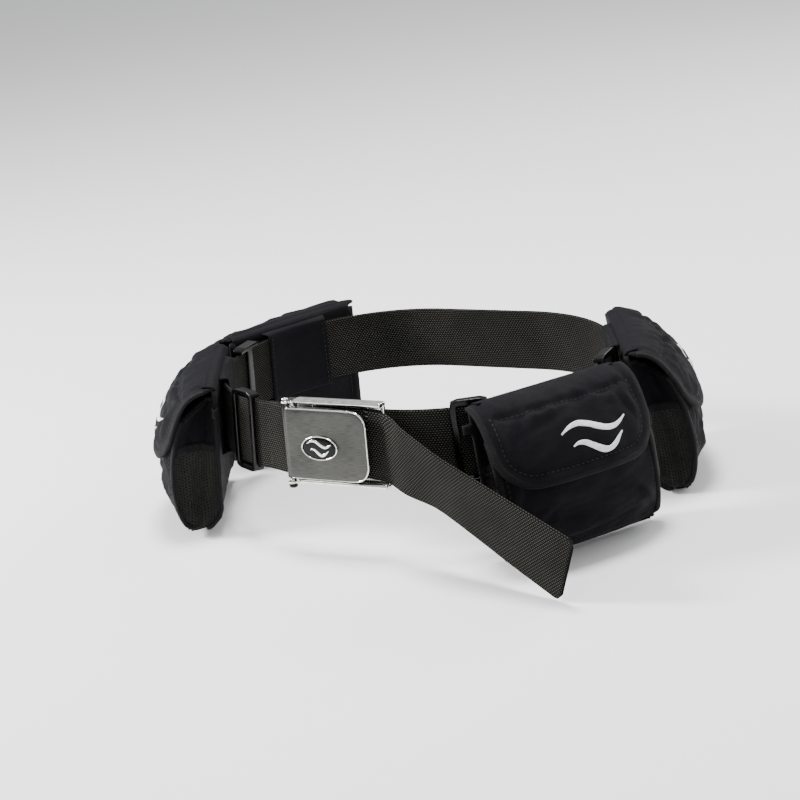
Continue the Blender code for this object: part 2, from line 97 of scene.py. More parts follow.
# Section of a buckle wall as (up, out): outer face, rolled bead, inner face.
WALL_OUTSIDE = [(0.0309, -0.0004), (0.0309, 0.0048), (0.0305, 0.0053)]
BEAD_UP, BEAD_OUT, BEAD_RADIUS = 0.0293, 0.0068, 0.0017
WALL_INSIDE = [(0.0289, 0.0053), (0.0293, 0.0046), (0.0293, 0.0018), (0.0281, 0.0005),
               (0.0281, -0.0004)]

# Ends of the hinge pin and its black cap, as (up, radius).
PIN_END = [(0.0325, 0.0009), (0.0323, 0.0018), (0.0318, 0.0024), (0.0313, 0.0024),
           (0.0311, PIN_RADIUS)]
PIN_CAP = [(-0.0336, 0.0010), (-0.0334, 0.0022), (-0.0328, 0.0030), (-0.0316, 0.0032),
           (-0.0310, 0.0030)]

# Keepers.
KEEPER_HALF_LONG, KEEPER_HALF_TALL = 0.014, 0.030
KEEPER_BAR, KEEPER_FRONT, KEEPER_BACK = 0.0048, 0.0028, -0.0052
KEEPER_CHANNEL = WEB_WIDTH / 2 + 0.0008
KEEPERS = (("left_front", 0.1025), ("left_rear", 0.2320),
           ("right_front", -0.0885), ("right_rear", -0.2165))

# Pockets: name, place along the belt, drop, the side whose gusset has caved in, and whether
# there is room for a side tab.
POCKETS = (("left_front", 0.155, 0.0, -1, True), ("left_rear", 0.285, 0.003, -1, True),
           ("right_front", -0.160, 0.0, 1, True), ("right_rear", -0.272, 0.0, 1, False))
POCKET_HALF, BACK_HALF, FLAP_HALF = 0.0600, 0.0550, 0.0615
FABRIC, THIN_CLOTH = 0.0015, 0.0009
BACK_OUT, BACK_TOP = 0.0010, 0.0282
BELLY_UP, BELLY_OUT = -0.040, 0.0495
TOP_RISE, TOP_ROOT = 0.0655, 0.010
BOTTOM_DROP, BOTTOM_ROOT = 0.039, 0.028
POCKET_BOTTOM = BELLY_UP - BOTTOM_DROP
CROWN, CROWN_POWER = 0.28, 2.5
MOUTH_ANGLE = 47
HEM_UP = -0.017
GUSSET_FRONT = POCKET_HALF - 0.001
CAVED_SIDE = (-0.0085, 0.0013, 15, 60)      # bow, pleat, and the pleat's turns across and up
FULL_SIDE = (0.0105, 0.0008, 9, 90)
SIDE_EXTRA = 0.036      # how much higher the full side of a pocket reaches at its back
WALL_TOP_BACK, WALL_TOP_FRONT, WALL_SLACK = 0.0225, 0.0066, 0.008
BOTTOM_CURL, BOTTOM_SAG = 0.016, 0.0016
SOFT_CORNER = 0.004     # rounding of the cloth's lower corners
BINDING_TUCK = 0.0022   # how far the front binding is drawn up at the lower corners
PATCH_HALF, PATCH_THICK, PATCH_CORNER = 0.036, 0.0010, 0.003
PATCH_LOW, PATCH_ROWS = 15, 24
FLAP_LAYER = 0.0029
FLAP_FACE = FLAP_LAYER + FABRIC
FLAP_END_ANGLE, FLAP_CORNER, FLAP_BACK_OUT, FLAP_PAD = 11.5, 0.024, 0.0037, 0.0022
SEAM_INSET, SEAM_TOP_ANGLE = 0.0075, 60
SLEEVE_HALF = 0.028

# Half width, half thickness and squareness of each tape round an edge.
TAPES = {"front_binding": (0.0024, 0.0015, 0.8), "mouth_hem": (0.0045, 0.0013, 0.7),
         "gusset_hem": (0.0038, 0.0013, 0.7), "side_wall_hem": (0.0022, 0.0012, 0.8),
         "back_binding": (0.0028, 0.0018, 0.8), "flap_binding": (0.0030, 0.0016, 0.75)}

# Free tail: centre line points, and the strap's roll about it in degrees.
TAIL_START, TAIL_OUT = 0.026, 0.00335
TAIL_POINTS = ((0.0365, -0.1191, -0.0005, 6), (0.0461, -0.1229, -0.0018, 4),
               (0.0625, -0.1308, -0.0069, -2), (0.0884, -0.1382, -0.0149, -12),
               (0.1206, -0.1470, -0.0275, -10), (0.1575, -0.1566, -0.0430, -5),
               (0.1969, -0.1666, -0.0593, 0))
TAIL_STEPS, TAIL_CORNER = 120, 0.005

# Threads, weaves and ripples.
WEAVE_ROW, WEAVE_OVAL = 0.0016, 0.0023
CLOTH_PITCH, MESH_PITCH, RIB_PITCH = 0.0008, 0.0024, 0.0011
STITCH, STITCH_GAP, THREAD = 0.0027, 0.0011, 0.00032
RIPPLE, EDGE_CURL = 0.0020, 0.0016

# One stitch, as (share of its length, share of the thread's radius, rise in radii).
STITCH_SHAPE = ((-0.5, 0.35, -0.7), (-0.3, 0.9, 0.2), (0.0, 1.0, 0.45), (0.3, 0.9, 0.2),
                (0.5, 0.35, -0.7))

# Sharp folds: (along, up, degrees from level, half length, width, depth); the side that has
# caved in is at negative along.
FRONT_CREASES = ((-0.046, -0.030, 74, 0.018, 0.0030, 0.0030),
                 (-0.034, -0.052, 40, 0.014, 0.0024, 0.0020),
                 (0.020, -0.030, 6, 0.034, 0.0026, 0.0018),
                 (0.044, -0.058, -48, 0.014, 0.0026, 0.0020),
                 (-0.008, -0.068, 4, 0.030, 0.0022, 0.0014),
                 (-0.052, -0.062, 62, 0.009, 0.0020, 0.0018))
FLAP_CREASES = ((-0.040, 0.006, 66, 0.016, 0.0028, 0.0022),
                (0.046, 0.004, -62, 0.013, 0.0026, 0.0018),
                (-0.012, 0.012, 12, 0.026, 0.0028, 0.0016),
                (-0.030, -0.016, 28, 0.016, 0.0026, 0.0014),
                (0.030, 0.020, 160, 0.016, 0.0024, 0.0012))

# Camera: degrees of azimuth, elevation and roll; distance, lens and shift.
CAMERA_ANGLES = (32.36, 17.93, -8.21)
CAMERA_AWAY, CAMERA_LENS, CAMERA_SHIFT = 1.6, 96.3, (-0.0251, -0.0168)

# Lights: name, place, size and power.
LIGHTS = (("key", (-1.5, -0.7, 0.9), 0.5, 75), ("fill", (1.4, -1.2, 0.8), 1.0, 11),
          ("top", (0.0, 0.1, 1.7), 0.5, 48), ("back", (0.6, 1.5, 0.9), 1.0, 16))


# Places on the belt.

def loop_point(u):
    """Plan position and outward normal of the webbing's outer face at arc length u."""
    side = 1.0 if u >= 0 else -1.0
    run = abs(u)
    if run <= STRAIGHT_HALF:
        return side * run, -SIDE_RADIUS, 0.0, -1.0
    if run >= ARC_START:
        return side * (HALF_LOOP - run), SIDE_RADIUS, 0.0, 1.0
    turn = (run - STRAIGHT_HALF) / SIDE_RADIUS
    beside, ahead = sin(turn), -cos(turn)
    return side * (STRAIGHT_HALF + SIDE_RADIUS * beside), SIDE_RADIUS * ahead, side * beside, ahead


def belt_point(u, out, up):
    """World point that is out from the webbing's outer face and up its width, at u."""
    x, y, normal_x, normal_y = loop_point(u)
    away = out * cos(FLARE) - up * sin(FLARE)
    return Vector((x + normal_x * away, y + normal_y * away, up * cos(FLARE) + out * sin(FLARE)))


def seat(u, drop=0.0):
    """Turns (along, out, up) points at u into world points."""
    x, y, normal_x, normal_y = loop_point(u)
    upright, lean = cos(FLARE), sin(FLARE)
    columns = Matrix(((-normal_y, normal_x, 0.0), (normal_x * upright, normal_y * upright, lean),
                      (-normal_x * lean, -normal_y * lean, upright))).transposed().to_4x4()
    return Matrix.Translation((x, y, 0.0)) @ columns @ Matrix.Translation((0.0, 0.0, -drop))


BUCKLE = seat(0.0)
BUCKLE_OUTWARD = BUCKLE.to_3x3() @ Vector((0.0, 1.0, 0.0))


def buckle_point(along, out, up):
    return BUCKLE @ Vector((along, out, up))


# Numbers and lines.

def evenly(steps):
    """Even shares from -1 to 1."""
    return [k / steps - 1 for k in range(2 * steps + 1)]


def crowded(steps):
    """Shares from -1 to 1, closer together at both ends."""
    return [sin(radians(-90 + 180 * k / steps)) for k in range(steps + 1)]


def arch(share):
    """A hump that is 0 at both ends and 1 in the middle."""
    return sin(pi * share)


def smooth_step(value, low, high):
    t = max(0.0, min(1.0, (value - low) / (high - low)))
    return t * t * (3 - 2 * t)


def turn_points(along, out, radius, start, end, steps=14):
    """Arc from one angle to another, in degrees."""
    angles = [radians(start + (end - start) * k / steps) for k in range(steps + 1)]
    return [(along + radius * cos(a), out + radius * sin(a)) for a in angles]


def oval(half_wide, half_tall, power=1.0, count=12):
    """Closed rounded profile; a power below 1 squares it off."""
    turns = [2 * pi * (k + 0.5) / count for k in range(count)]
    return [(half_wide * copysign(abs(cos(a)) ** power, cos(a)),
             half_tall * copysign(abs(sin(a)) ** power, sin(a))) for a in turns]


def rounded_half(half, radius, from_edge):
    """Half width of a panel with rounded corners, at a distance from its end."""
    if from_edge >= radius:
        return half
    return half - radius + sqrt(max(0.0, radius ** 2 - (radius - from_edge) ** 2))


def trough(half, low, corner, top, side_steps, base_steps, height=float):
    """Places down one side of a panel, round its lower corners and up the other side."""
    start = height(low + corner)
    left = [(-half, top + (start - top) * k / side_steps) for k in range(side_steps)]
    for a in (radians(7.5 * k) for k in range(13)):
        left.append((-half + corner * (1 - cos(a)), height(low + corner * (1 - sin(a)))))
    base = [(-half + corner + (2 * half - 2 * corner) * k / base_steps, left[-1][1])
            for k in range(1, base_steps)]
    return left + base + [(-along, up) for along, up in reversed(left)]


def heading(path, k, closed=False):
    """Way along a path at its k-th point."""
    count = len(path)
    if closed:
        return path[(k + 1) % count] - path[k - 1]
    return path[min(k + 1, count - 1)] - path[max(k - 1, 0)]


def running(points):
    """Distance along a line of points, at each point."""
    lengths = [0.0]
    for near, far in zip(points[:-1], points[1:]):
        lengths.append(lengths[-1] + (far - near).length)
    return lengths


def smooth_path(points, steps):
    """Points along a Catmull-Rom curve through the given points."""
    padded = [2 * points[0] - points[1], *points, 2 * points[-1] - points[-2]]
    spans = len(points) - 1
    path = []
    for k in range(steps + 1):
        place = min(k * spans / steps, spans - 1e-9)
        n = int(place)
        t = place - n
        a, b, c, d = padded[n:n + 4]
        path.append(0.5 * (2 * b + (c - a) * t + (2 * a - 5 * b + 4 * c - d) * t * t
                           + (3 * b - a - 3 * c + d) * t ** 3))
    return path


# Meshes.

def link(name, data):
    made = bpy.data.objects.new(name, data)
    bpy.context.collection.objects.link(made)
    return made


def make(name, mesh, look):
    data = bpy.data.meshes.new(name)
    mesh.to_mesh(data)
    mesh.free()
    data.materials.append(look)
    data.shade_smooth()
    return link(name, data)


def surface(name, rows, look, ring=False, caps=False):
    """Quad mesh through equally long rows of points, with UV in metres along and across."""
    mesh = bmesh.new()
    layer = mesh.loops.layers.uv.new("metres")
    verts = [[mesh.verts.new(point) for point in row] for row in rows]
    count = len(rows[0])
    middle = count // (4 if ring else 2)
    down = running([row[middle] for row in rows])
    widths = [running([*row, row[0]]) for row in rows]
    for r in range(len(rows) - 1):
        for c in range(count if ring else count - 1):
            n = (c + 1) % count
            face = mesh.faces.new((verts[r][c], verts[r][n], verts[r + 1][n], verts[r + 1][c]))
            places = ((r, c), (r, c + 1), (r + 1, c + 1), (r + 1, c))
            for loop, (row, place) in zip(face.loops, places):
                loop[layer].uv = (down[row], widths[row][place] - widths[row][middle])
    if caps:
        mesh.faces.new(reversed(verts[0]))
        mesh.faces.new(verts[-1])
    bmesh.ops.recalc_face_normals(mesh, faces=mesh.faces)
    return make(name, mesh, look)


def tube(name, rows, look):
    """Closed solid through rings of points."""
    return surface(name, rows, look, ring=True, caps=True)


def thicken(piece, thickness, offset=0.0):
    step = piece.modifiers.new("thickness", "SOLIDIFY")
    step.thickness = thickness
    step.offset = offset
    return piece


def round_edges(piece, width, angle=35):
    step = piece.modifiers.new("rounded", "BEVEL")
    step.width = width
    step.segments = 2
    step.limit_method = "ANGLE"
    step.angle_limit = radians(angle)
    piece.data.set_sharp_from_angle(angle=radians(50))
    return piece


def join_ends(piece):
    """Joins the last row of a closed loop to its first."""
    piece.modifiers.new("closed", "WELD").merge_threshold = 1e-6
    return piece


def apply_modifiers(piece):
    bpy.context.view_layer.update()
    final = piece.evaluated_get(bpy.context.evaluated_depsgraph_get())
    done = bpy.data.meshes.new_from_object(final)
    piece.modifiers.clear()
    piece.data = done
    return piece


def sweep(name, path, normals, profile, look, closed=False):
    """Closed profile of (side, raised) points carried along a path."""
    rows = []
    for k, (point, normal) in enumerate(zip(path, normals)):
        ahead = heading(path, k, closed).normalized()
        side = normal.cross(ahead).normalized()
        raised = ahead.cross(side).normalized()
        rows.append([point + side * a + raised * b for a, b in profile])
    if closed:
        rows.append([point.copy() for point in rows[0]])
        return join_ends(surface(name, rows, look, ring=True))
    return tube(name, rows, look)


def resample(points, step):
    """Places every step along a line, as (segment, share)."""
    lengths = running(points)
    places, segment = [], 0
    for k in range(int(lengths[-1] / step) + 1):
        goal = k * step
        while segment < len(points) - 2 and lengths[segment + 1] < goal:
            segment += 1
        span = max(lengths[segment + 1] - lengths[segment], 1e-9)
        places.append((segment, min(1.0, (goal - lengths[segment]) / span)))
    return places


def stitches(name, lines):
    """Rows of raised thread, each line given as (points, normals)."""
    mesh = bmesh.new()
    layer = mesh.loops.layers.uv.new("metres")
    for points, normals in lines:
        for segment, share in resample(points, STITCH + STITCH_GAP):
            ahead = points[segment + 1] - points[segment]
            if ahead.length < 1e-9:
                continue
            centre = points[segment] + ahead * share
            ahead.normalize()
            up = normals[segment].normalized()
            side = up.cross(ahead).normalized()
            rings = []
            for place, size, rise in STITCH_SHAPE:
                middle = centre + ahead * place * STITCH + up * rise * THREAD
                rings.append([mesh.verts.new(middle + THREAD * size * (
                    side * cos(k * pi / 3) + up * sin(k * pi / 3))) for k in range(6)])
            for near, far in zip(rings[:-1], rings[1:]):
                for k in range(6):
                    n = (k + 1) % 6
                    mesh.faces.new((near[k], near[n], far[n], far[k]))
            mesh.faces.new(reversed(rings[0]))
            mesh.faces.new(rings[-1])
    for face in mesh.faces:
        for loop in face.loops:
            loop[layer].uv = (loop.vert.co.x + loop.vert.co.y, loop.vert.co.z)
    bmesh.ops.recalc_face_normals(mesh, faces=mesh.faces)
    return make(name, mesh, THREAD_LOOK)


def lathe(name, along, out, stations, look):
    """Round buckle bar lying up the webbing's width, through (up, radius) stations."""
    turns = [2 * pi * k / 24 for k in range(24)]
    rows = [[buckle_point(along + radius * cos(a), out + radius * sin(a), up) for a in turns]
            for up, radius in stations]
    return tube(name, rows, look)


def extrude(name, points, low, high, look, bevel):
    """Buckle plate from an (along, out) outline, between two heights."""
    rows = [[buckle_point(along, out, up) for along, out in points] for up in (low, high)]
    return round_edges(tube(name, rows, look), bevel)


# Materials.

class Look:
    """One material, with short names for the nodes that draw it."""

    def __init__(self, name, **sockets):
        self.material = bpy.data.materials.new(name)
        self.material.use_nodes = True
        self.tree = self.material.node_tree
        self.shader = self.tree.nodes["Principled BSDF"]
        for socket, value in sockets.items():
            self.shader.inputs[socket.replace("_", " ")].default_value = value

    def put(self, value, socket):
        if isinstance(value, (int, float, tuple)):
            socket.default_value = value
        else:
            self.tree.links.new(value, socket)

    def node(self, kind, *values):
        """New node whose first inputs take the values in order."""
        made = self.tree.nodes.new(f"ShaderNode{kind}")
        for value, socket in zip(values, made.inputs):
            self.put(value, socket)
        return made

    def math(self, operation, *values):
        made = self.node("Math", *values)
        made.operation = operation
        return made.outputs[0]

    def times(self, *values):
        return self.math("MULTIPLY", *values)

    def wave(self, value):
        """Ridges a unit apart."""
        return self.math("ABSOLUTE", self.math("SINE", self.times(value, pi)))

    def uv(self):
        """Metres along and across the piece, as two sockets."""
        self.place = self.node("UVMap")
        self.place.uv_map = "metres"
        return self.node("SeparateXYZ", self.place.outputs[0]).outputs[:2]

    def noise(self, scale, detail, stretch=None):
        """Cloudy 0..1 value in object space, or in UV space when stretched."""
        made = self.node("TexNoise")
        if stretch:
            mapping = self.node("Mapping", self.place.outputs[0])
            mapping.inputs["Scale"].default_value = stretch
            place = mapping.outputs[0]
        else:
            place = self.node("TexCoord").outputs["Object"]
        for socket, value in (("Scale", scale), ("Detail", detail), ("Vector", place)):
            self.put(value, made.inputs[socket])
        return made.outputs["Fac"]

    def span(self, value, low, high, to_low=0.0, to_high=1.0):
        return self.node("MapRange", value, low, high, to_low, to_high).outputs[0]

    def finish(self, shade, dark, light, rough, relief=None, depth=0.0, strength=1.0):
        """Colours the piece from dark to light by shade, and sets its roughness and bump."""
        mix = self.node("Mix", shade)
        mix.data_type = "RGBA"
        mix.inputs[6].default_value = (*dark, 1.0)
        mix.inputs[7].default_value = (*light, 1.0)
        self.put(mix.outputs[2], self.shader.inputs["Base Color"])
        self.put(rough, self.shader.inputs["Roughness"])
        if relief is not None:
            bump = self.node("Bump")
            for socket, value in (("Strength", strength), ("Distance", depth), ("Height", relief)):
                self.put(value, bump.inputs[socket])
            self.put(bump.outputs[0], self.shader.inputs["Normal"])
        return self.material

    def staggered(self, row_pitch, oval_pitch):
        """Rows of raised ovals, every other row shifted by half: the face of woven tape."""
        u, v = self.uv()
        place = self.math("DIVIDE", v, row_pitch)
        shift = self.times(self.math("FLOOR", place), 0.5)
        bulge = self.wave(self.math("ADD", self.math("DIVIDE", u, oval_pitch), shift))
        return self.times(self.math("POWER", bulge, 0.6),
                          self.math("POWER", self.wave(place), 0.7))


def woven_webbing():
    """Pale ovals with gaps darkened as painted shade between the yarns, unevenly worn."""
    look = Look("woven_webbing", Specular_IOR_Level=0.06)
    height = look.staggered(WEAVE_ROW, WEAVE_OVAL)
    worn = look.span(look.noise(22, 4), 0.35, 0.7, 0.75, 1.15)
    fibres = look.span(look.noise(900, 2, (1.0, 9.0, 1.0)), 0.3, 0.7, 0.85, 1.1)
    # Colour follows the weave's height: painted shade darkens the gaps, then wear and fibre streaks
    # vary the tone.
    share = look.times(look.math("POWER", height, 3.6), look.times(worn, fibres))
    return look.finish(share, (0.0005, 0.0005, 0.0005), (0.068, 0.0665, 0.0570),
                       look.span(height, 0.0, 1.0, 0.95, 0.62), height, 0.00055)


def pack_cloth():
    """Fine plain weave with soft unevenness, its gaps between threads darkened as painted shade."""
    look = Look("pack_cloth", Specular_IOR_Level=0.08, Sheen_Weight=0.015, Sheen_Roughness=0.4)
    height = look.staggered(CLOTH_PITCH, CLOTH_PITCH * 1.3)
    cloud = look.noise(38, 5)
    # The weave's low places get darker colour as painted shade; the cloud is uneven tone of the
    # cloth.
    share = look.times(look.span(height, 0, 1, 0.35, 1.0), look.span(cloud, 0.3, 0.7, 0.6, 1.15))
    relief = look.math("ADD", look.times(height, 0.25), look.noise(120, 4))
    return look.finish(share, (0.0006, 0.0006, 0.0011), (0.0047, 0.0045, 0.0066),
                       look.span(cloud, 0.3, 0.7, 0.6, 0.8), relief, 0.0009, 0.8)


def drain_mesh():
    """Knitted mesh with small round holes in staggered rows, the holes painted near black as
    painted shade of the pocket's inside.
    """
    look = Look("drain_mesh", Specular_IOR_Level=0.12, Sheen_Weight=0.02)
    # The holes are only colour and bump: near-black painted shade where the mesh would open onto
    # the shaded inside.
    hole = look.span(look.staggered(MESH_PITCH, MESH_PITCH), 0.62, 0.86)
    return look.finish(hole, (0.013, 0.013, 0.012), (0.0005, 0.0005, 0.0005),
                       look.span(look.noise(200, 2), 0.3, 0.7, 0.7, 0.9),
                       look.math("SUBTRACT", 1.0, hole), 0.0008)


def ribbed_tape():
    """Edge binding: fine ribs across the tape, darker between the ribs as painted shade in the
    grooves.
    """
    look = Look("ribbed_tape", Specular_IOR_Level=0.12, Sheen_Weight=0.02)
    rib = look.wave(look.math("DIVIDE", look.uv()[0], RIB_PITCH))
    wear = look.noise(90, 4)
    # Colour falls between the ribs as painted shade; the wear noise varies the tone.
    return look.finish(look.times(rib, look.span(wear, 0.3, 0.7, 0.5, 1.1)),
                       (0.0009, 0.0009, 0.0012), (0.0060, 0.0059, 0.0070),
                       look.span(wear, 0.3, 0.7, 0.62, 0.85), rib, 0.0003)


def moulded_plastic():
    look = Look("moulded_plastic", Specular_IOR_Level=0.24)
    wear = look.noise(70, 5)
    relief = look.math("ADD", look.times(look.noise(2600, 2), 0.3), wear)
    return look.finish(look.span(wear, 0.5, 0.8), (0.0009, 0.0009, 0.0011),
                       (0.0034, 0.0034, 0.0038), look.span(wear, 0.35, 0.75, 0.14, 0.30),
                       relief, 0.00012)


def brushed_steel(name, dark, light, low_rough, high_rough):
    """Sheet steel with fine brushing lengthways, faint clouding and a few scratches."""
    look = Look(name, Metallic=1.0)
    look.uv()
    brush = look.noise(1.0, 3, (140.0, 5200.0, 1.0))
    cloud = look.noise(38, 3)
    scratch = look.span(look.noise(1.0, 6, (60.0, 1400.0, 1.0)), 0.66, 0.72, 0.0, -1.5)
    share = look.math("ADD", look.times(brush, 0.7), look.times(cloud, 0.3))
    return look.finish(look.span(share, 0.35, 0.65), dark, light,
                       look.span(cloud, 0.3, 0.7, low_rough, high_rough),
                       look.math("ADD", brush, scratch), 0.00006)


def polished_chrome():
    look = Look("polished_chrome", Metallic=1.0)
    smudge = look.noise(210, 5)
    return look.finish(look.span(smudge, 0.35, 0.7), (0.86, 0.86, 0.82), (0.62, 0.62, 0.57),
                       look.span(smudge, 0.35, 0.75, 0.05, 0.16), look.noise(60, 3), 0.0002, 0.4)


def grained(name, scale, detail, shades, dark, light, rough, depth=None, **sockets):
    """One fine grain that sets colour, roughness and relief together."""
    look = Look(name, **sockets)
    grain = look.noise(scale, detail)
    relief = () if depth is None else (grain, depth)
    return look.finish(look.span(grain, *shades), dark, light,
                       look.span(grain, 0.3, 0.7, *rough), *relief)


NAP = {"Specular_IOR_Level": 0.15, "Sheen_Weight": 0.10, "Sheen_Roughness": 0.6}
WEBBING = woven_webbing()
CLOTH = pack_cloth()
MESH = drain_mesh()
TAPE = ribbed_tape()
PLASTIC = moulded_plastic()
# The lever's steel gets a very dark colour: painted reflection of darker surroundings, beside the
# bright frame steel.
STEEL = brushed_steel("brushed_steel", (0.040, 0.040, 0.037), (0.100, 0.100, 0.092), 0.28, 0.36)
FRAME_STEEL = brushed_steel("frame_steel", (0.50, 0.50, 0.46), (0.74, 0.74, 0.69), 0.14, 0.26)
CHROME = polished_chrome()
LOOPS = grained("loop_pile", 1100, 4, (0.35, 0.65), (0.002, 0.002, 0.002),
                (0.018, 0.018, 0.019), (0.85, 1.0), 0.0016, **NAP)
HOOKS = grained("hook_pile", 1600, 4, (0.35, 0.65), (0.0015, 0.0015, 0.0015),
                (0.014, 0.014, 0.015), (0.85, 1.0), 0.0016, **NAP)
ENAMEL = grained("badge_enamel", 700, 3, (0.5, 0.75), (0.002, 0.0028, 0.0026),
                 (0.006, 0.0075, 0.007), (0.16, 0.28), 0.00004,
                 Specular_IOR_Level=0.12, Coat_Weight=0.08, Coat_Roughness=0.05)
PRINT = grained("soft_print", 420, 4, (0.3, 0.7), (0.58, 0.58, 0.60), (0.74, 0.74, 0.75),
                (0.5, 0.7), 0.00015, Specular_IOR_Level=0.4)
THREAD_LOOK = grained("sewing_thread", 1500, 2, (0.35, 0.65), (0.002, 0.002, 0.0024),
                      (0.013, 0.013, 0.014), (0.5, 0.75), 0.0002, Specular_IOR_Level=0.3)
FLOOR = grained("pale_floor", 1.5, 2, (0.0, 1.0), (0.80, 0.80, 0.80), (0.84, 0.84, 0.84),
                (0.8, 0.9), Specular_IOR_Level=0.2)


def fit(piece, body, slot, *nodes):
    """Rides a piece on a body and hides the CAD it stands for; slot is not used."""
    if body:
        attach(piece, body)
    if nodes:
        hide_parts(*nodes)
    return piece


# Webbing.

def strap_profile(half_wide, half_thick):
    """Closed section of a strap: flat faces and rounded woven edges."""
    face = [half_wide - half_thick - (2 * half_wide - 2 * half_thick) * k / 24 for k in range(25)]
    left = [(-half_wide + half_thick * (1 - cos(a)), half_thick * sin(a))
            for a in (radians(d) for d in (60, 30, 0, -30, -60))]
    return ([(a, half_thick) for a in face] + left
            + [(-a, -half_thick) for a in face] + [(-a, -b) for a, b in left])


def webbing_line():
    """Centre line as (u, out), from the sewn end, round the waist and through the buckle."""
    middle = -WEB_THICK / 2
    under = middle - WEB_THICK - GAP
    end_turn = END_BAR_RADIUS + GAP + WEB_THICK / 2
    slot_turn = BASE_MID - middle
    line = [(SEWN_END, under), (-0.052, under), (-0.044, BASE_MID - end_turn - 0.0008)]
    line += turn_points(END_BAR_ALONG, BASE_MID, end_turn, -90, 90)
    line += [(-0.044, 0.0034), (-0.050, 0.0014), (-0.056, -0.0004), (SEWN_END, middle)]
    line += [(SEWN_END + (-SEWN_END - ARC_START) * k / 120, middle) for k in range(1, 121)]
    line += [(-HALF_LOOP, middle)]
    line += [(ARC_START - SIDE_ARC * k / 120, middle) for k in range(121)]
    line += [(TURN_ALONG + 0.004, middle)]
    line += turn_points(TURN_ALONG, BASE_MID, slot_turn, 270, 90)
    return line + [(TURN_ALONG + 0.004, BASE_MID + slot_turn), (TAIL_START - GAP, TAIL_OUT)]


def belt_webbing():
    line = webbing_line()
    profile = strap_profile(WEB_WIDTH / 2, WEB_THICK / 2)
    rows = []
    for k, (u, out) in enumerate(line):
        before, after = line[max(k - 1, 0)], line[min(k + 1, len(line) - 1)]
        step_u, step_out = after[0] - before[0], after[1] - before[1]
        if abs(step_u) > HALF_LOOP:     # the back, where u changes sign
            step_u, step_out = -1.0, 0.0
        length = hypot(step_u, step_out)
        side_u, side_out = step_out / length, -step_u / length
        rows.append([belt_point(u + side_u * b, out + side_out * b, a) for a, b in profile])
    fit(tube("belt_webbing_woven", rows, WEBBING), "root", "webbing", "belt_webbing")


def webbing_stitching():
    """Box stitch that closes the webbing's sewn end round the buckle bar."""
    a, b, c, d = (-0.0605, -0.020), (-0.0505, -0.020), (-0.0505, 0.020), (-0.0605, 0.020)
    lines = []
    for (u1, up1), (u2, up2) in ((a, b), (b, c), (c, d), (d, a), (a, c), (b, d)):
        points, normals = [], []
        for k in range(13):
            u, up = u1 + (u2 - u1) * k / 12, up1 + (up2 - up1) * k / 12
            rise = max(0.0, (u + 0.056) / 0.006) * 0.0018
            points.append(belt_point(u, 0.0001 + rise, up))
            normals.append(belt_point(u, 1.0, up) - belt_point(u, 0.0, up))
        lines.append((points, normals))
    fit(stitches("webbing_box_stitch", lines), "root", "webbing")


def belt_tail():
    """Loose end of the webbing, bending smoothly where it leaves the buckle."""
    start = buckle_point(TAIL_START, TAIL_OUT, 0.0)
    knots = [Vector((*start, degrees(FLARE))), *(Vector(point) for point in TAIL_POINTS)]
    path = smooth_path(knots, TAIL_STEPS)
    lengths = running([point.to_3d() for point in path])
    rows = []
    for k, point in enumerate(path):
        half = rounded_half(WEB_WIDTH / 2, TAIL_CORNER, lengths[-1] - lengths[k])
        ahead = heading(path, k).to_3d().normalized() if k else Vector((1.0, 0.0, 0.0))
        level = ahead.cross(Vector((0.0, 0.0, 1.0))).normalized()
        roll = radians(point[3])
        across = level.cross(ahead) * cos(roll) - level * sin(roll)
        thick = across.cross(ahead)
        rows.append([point.to_3d() + across * a - thick * b
                     for a, b in strap_profile(half, WEB_THICK / 2)])
    tail = tube("belt_tail_woven", rows, WEBBING)
    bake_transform(tail)
    fit(tail, None, "webbing", "belt_tail")


# Buckle.

def buckle_base():
    """Sheet base with the strap's slot, as one ring of faces with rounded edges."""
    def corners(left, right, half, out):
        steps = [k / 6 for k in range(6)]
        return [buckle_point(*point) for point in (
            [(left + (right - left) * t, out, -half) for t in steps]
            + [(right, out, -half + 2 * half * t) for t in steps]
            + [(right - (right - left) * t, out, half) for t in steps]
            + [(left, out, half - 2 * half * t) for t in steps])]

    outside = (BASE_LEFT, FRAME_RIGHT - 0.002, WALL_INNER + 0.001)
    slot = (SLOT_LEFT, SLOT_RIGHT, SLOT_HALF)
    rows = [corners(*outside, BASE_LOW), corners(*outside, BASE_HIGH), corners(*slot, BASE_HIGH),
            corners(*slot, BASE_LOW), corners(*outside, BASE_LOW)]
    base = join_ends(surface("frame_base_plate", rows, FRAME_STEEL, ring=True))
    fit(round_edges(base, 0.0003), "root", "steel", "buckle_frame")


def buckle_walls():
    """Side walls: sheet bent up from the base and rolled over at the top, with the pin's ears."""
    section = (WALL_OUTSIDE + turn_points(BEAD_UP, BEAD_OUT, BEAD_RADIUS, -40, 220, 13)
               + WALL_INSIDE)
    stations = ((-0.0305, 0.0), (FRAME_RIGHT - 0.0012, 0.0), (FRAME_RIGHT - GAP, 0.12),
                (FRAME_RIGHT, 0.35))
    ear = [(-0.0290, -0.0004), (-0.0290, 0.0080), (-0.0310, 0.0108),
           *turn_points(PIN_ALONG, PIN_OUT, EAR_RADIUS, 10, 180, 10),
           (-0.0391, 0.004), (-0.0388, -0.0004)]
    for side, word in ((1, "upper"), (-1, "lower")):
        rows = [[buckle_point(along, out + (0.004 - out) * shrink,
                              side * (up + (0.0295 - up) * shrink)) for up, out in section]
                for along, shrink in stations]
        wall = tube(f"frame_wall_{word}", rows, CHROME)
        fit(round_edges(wall, 0.00015, 40), "root", "chrome")
        low, high = sorted((side * 0.0286, side * 0.0302))
        fit(extrude(f"frame_ear_{word}", ear, low, high, CHROME, 0.0004), "root", "chrome")


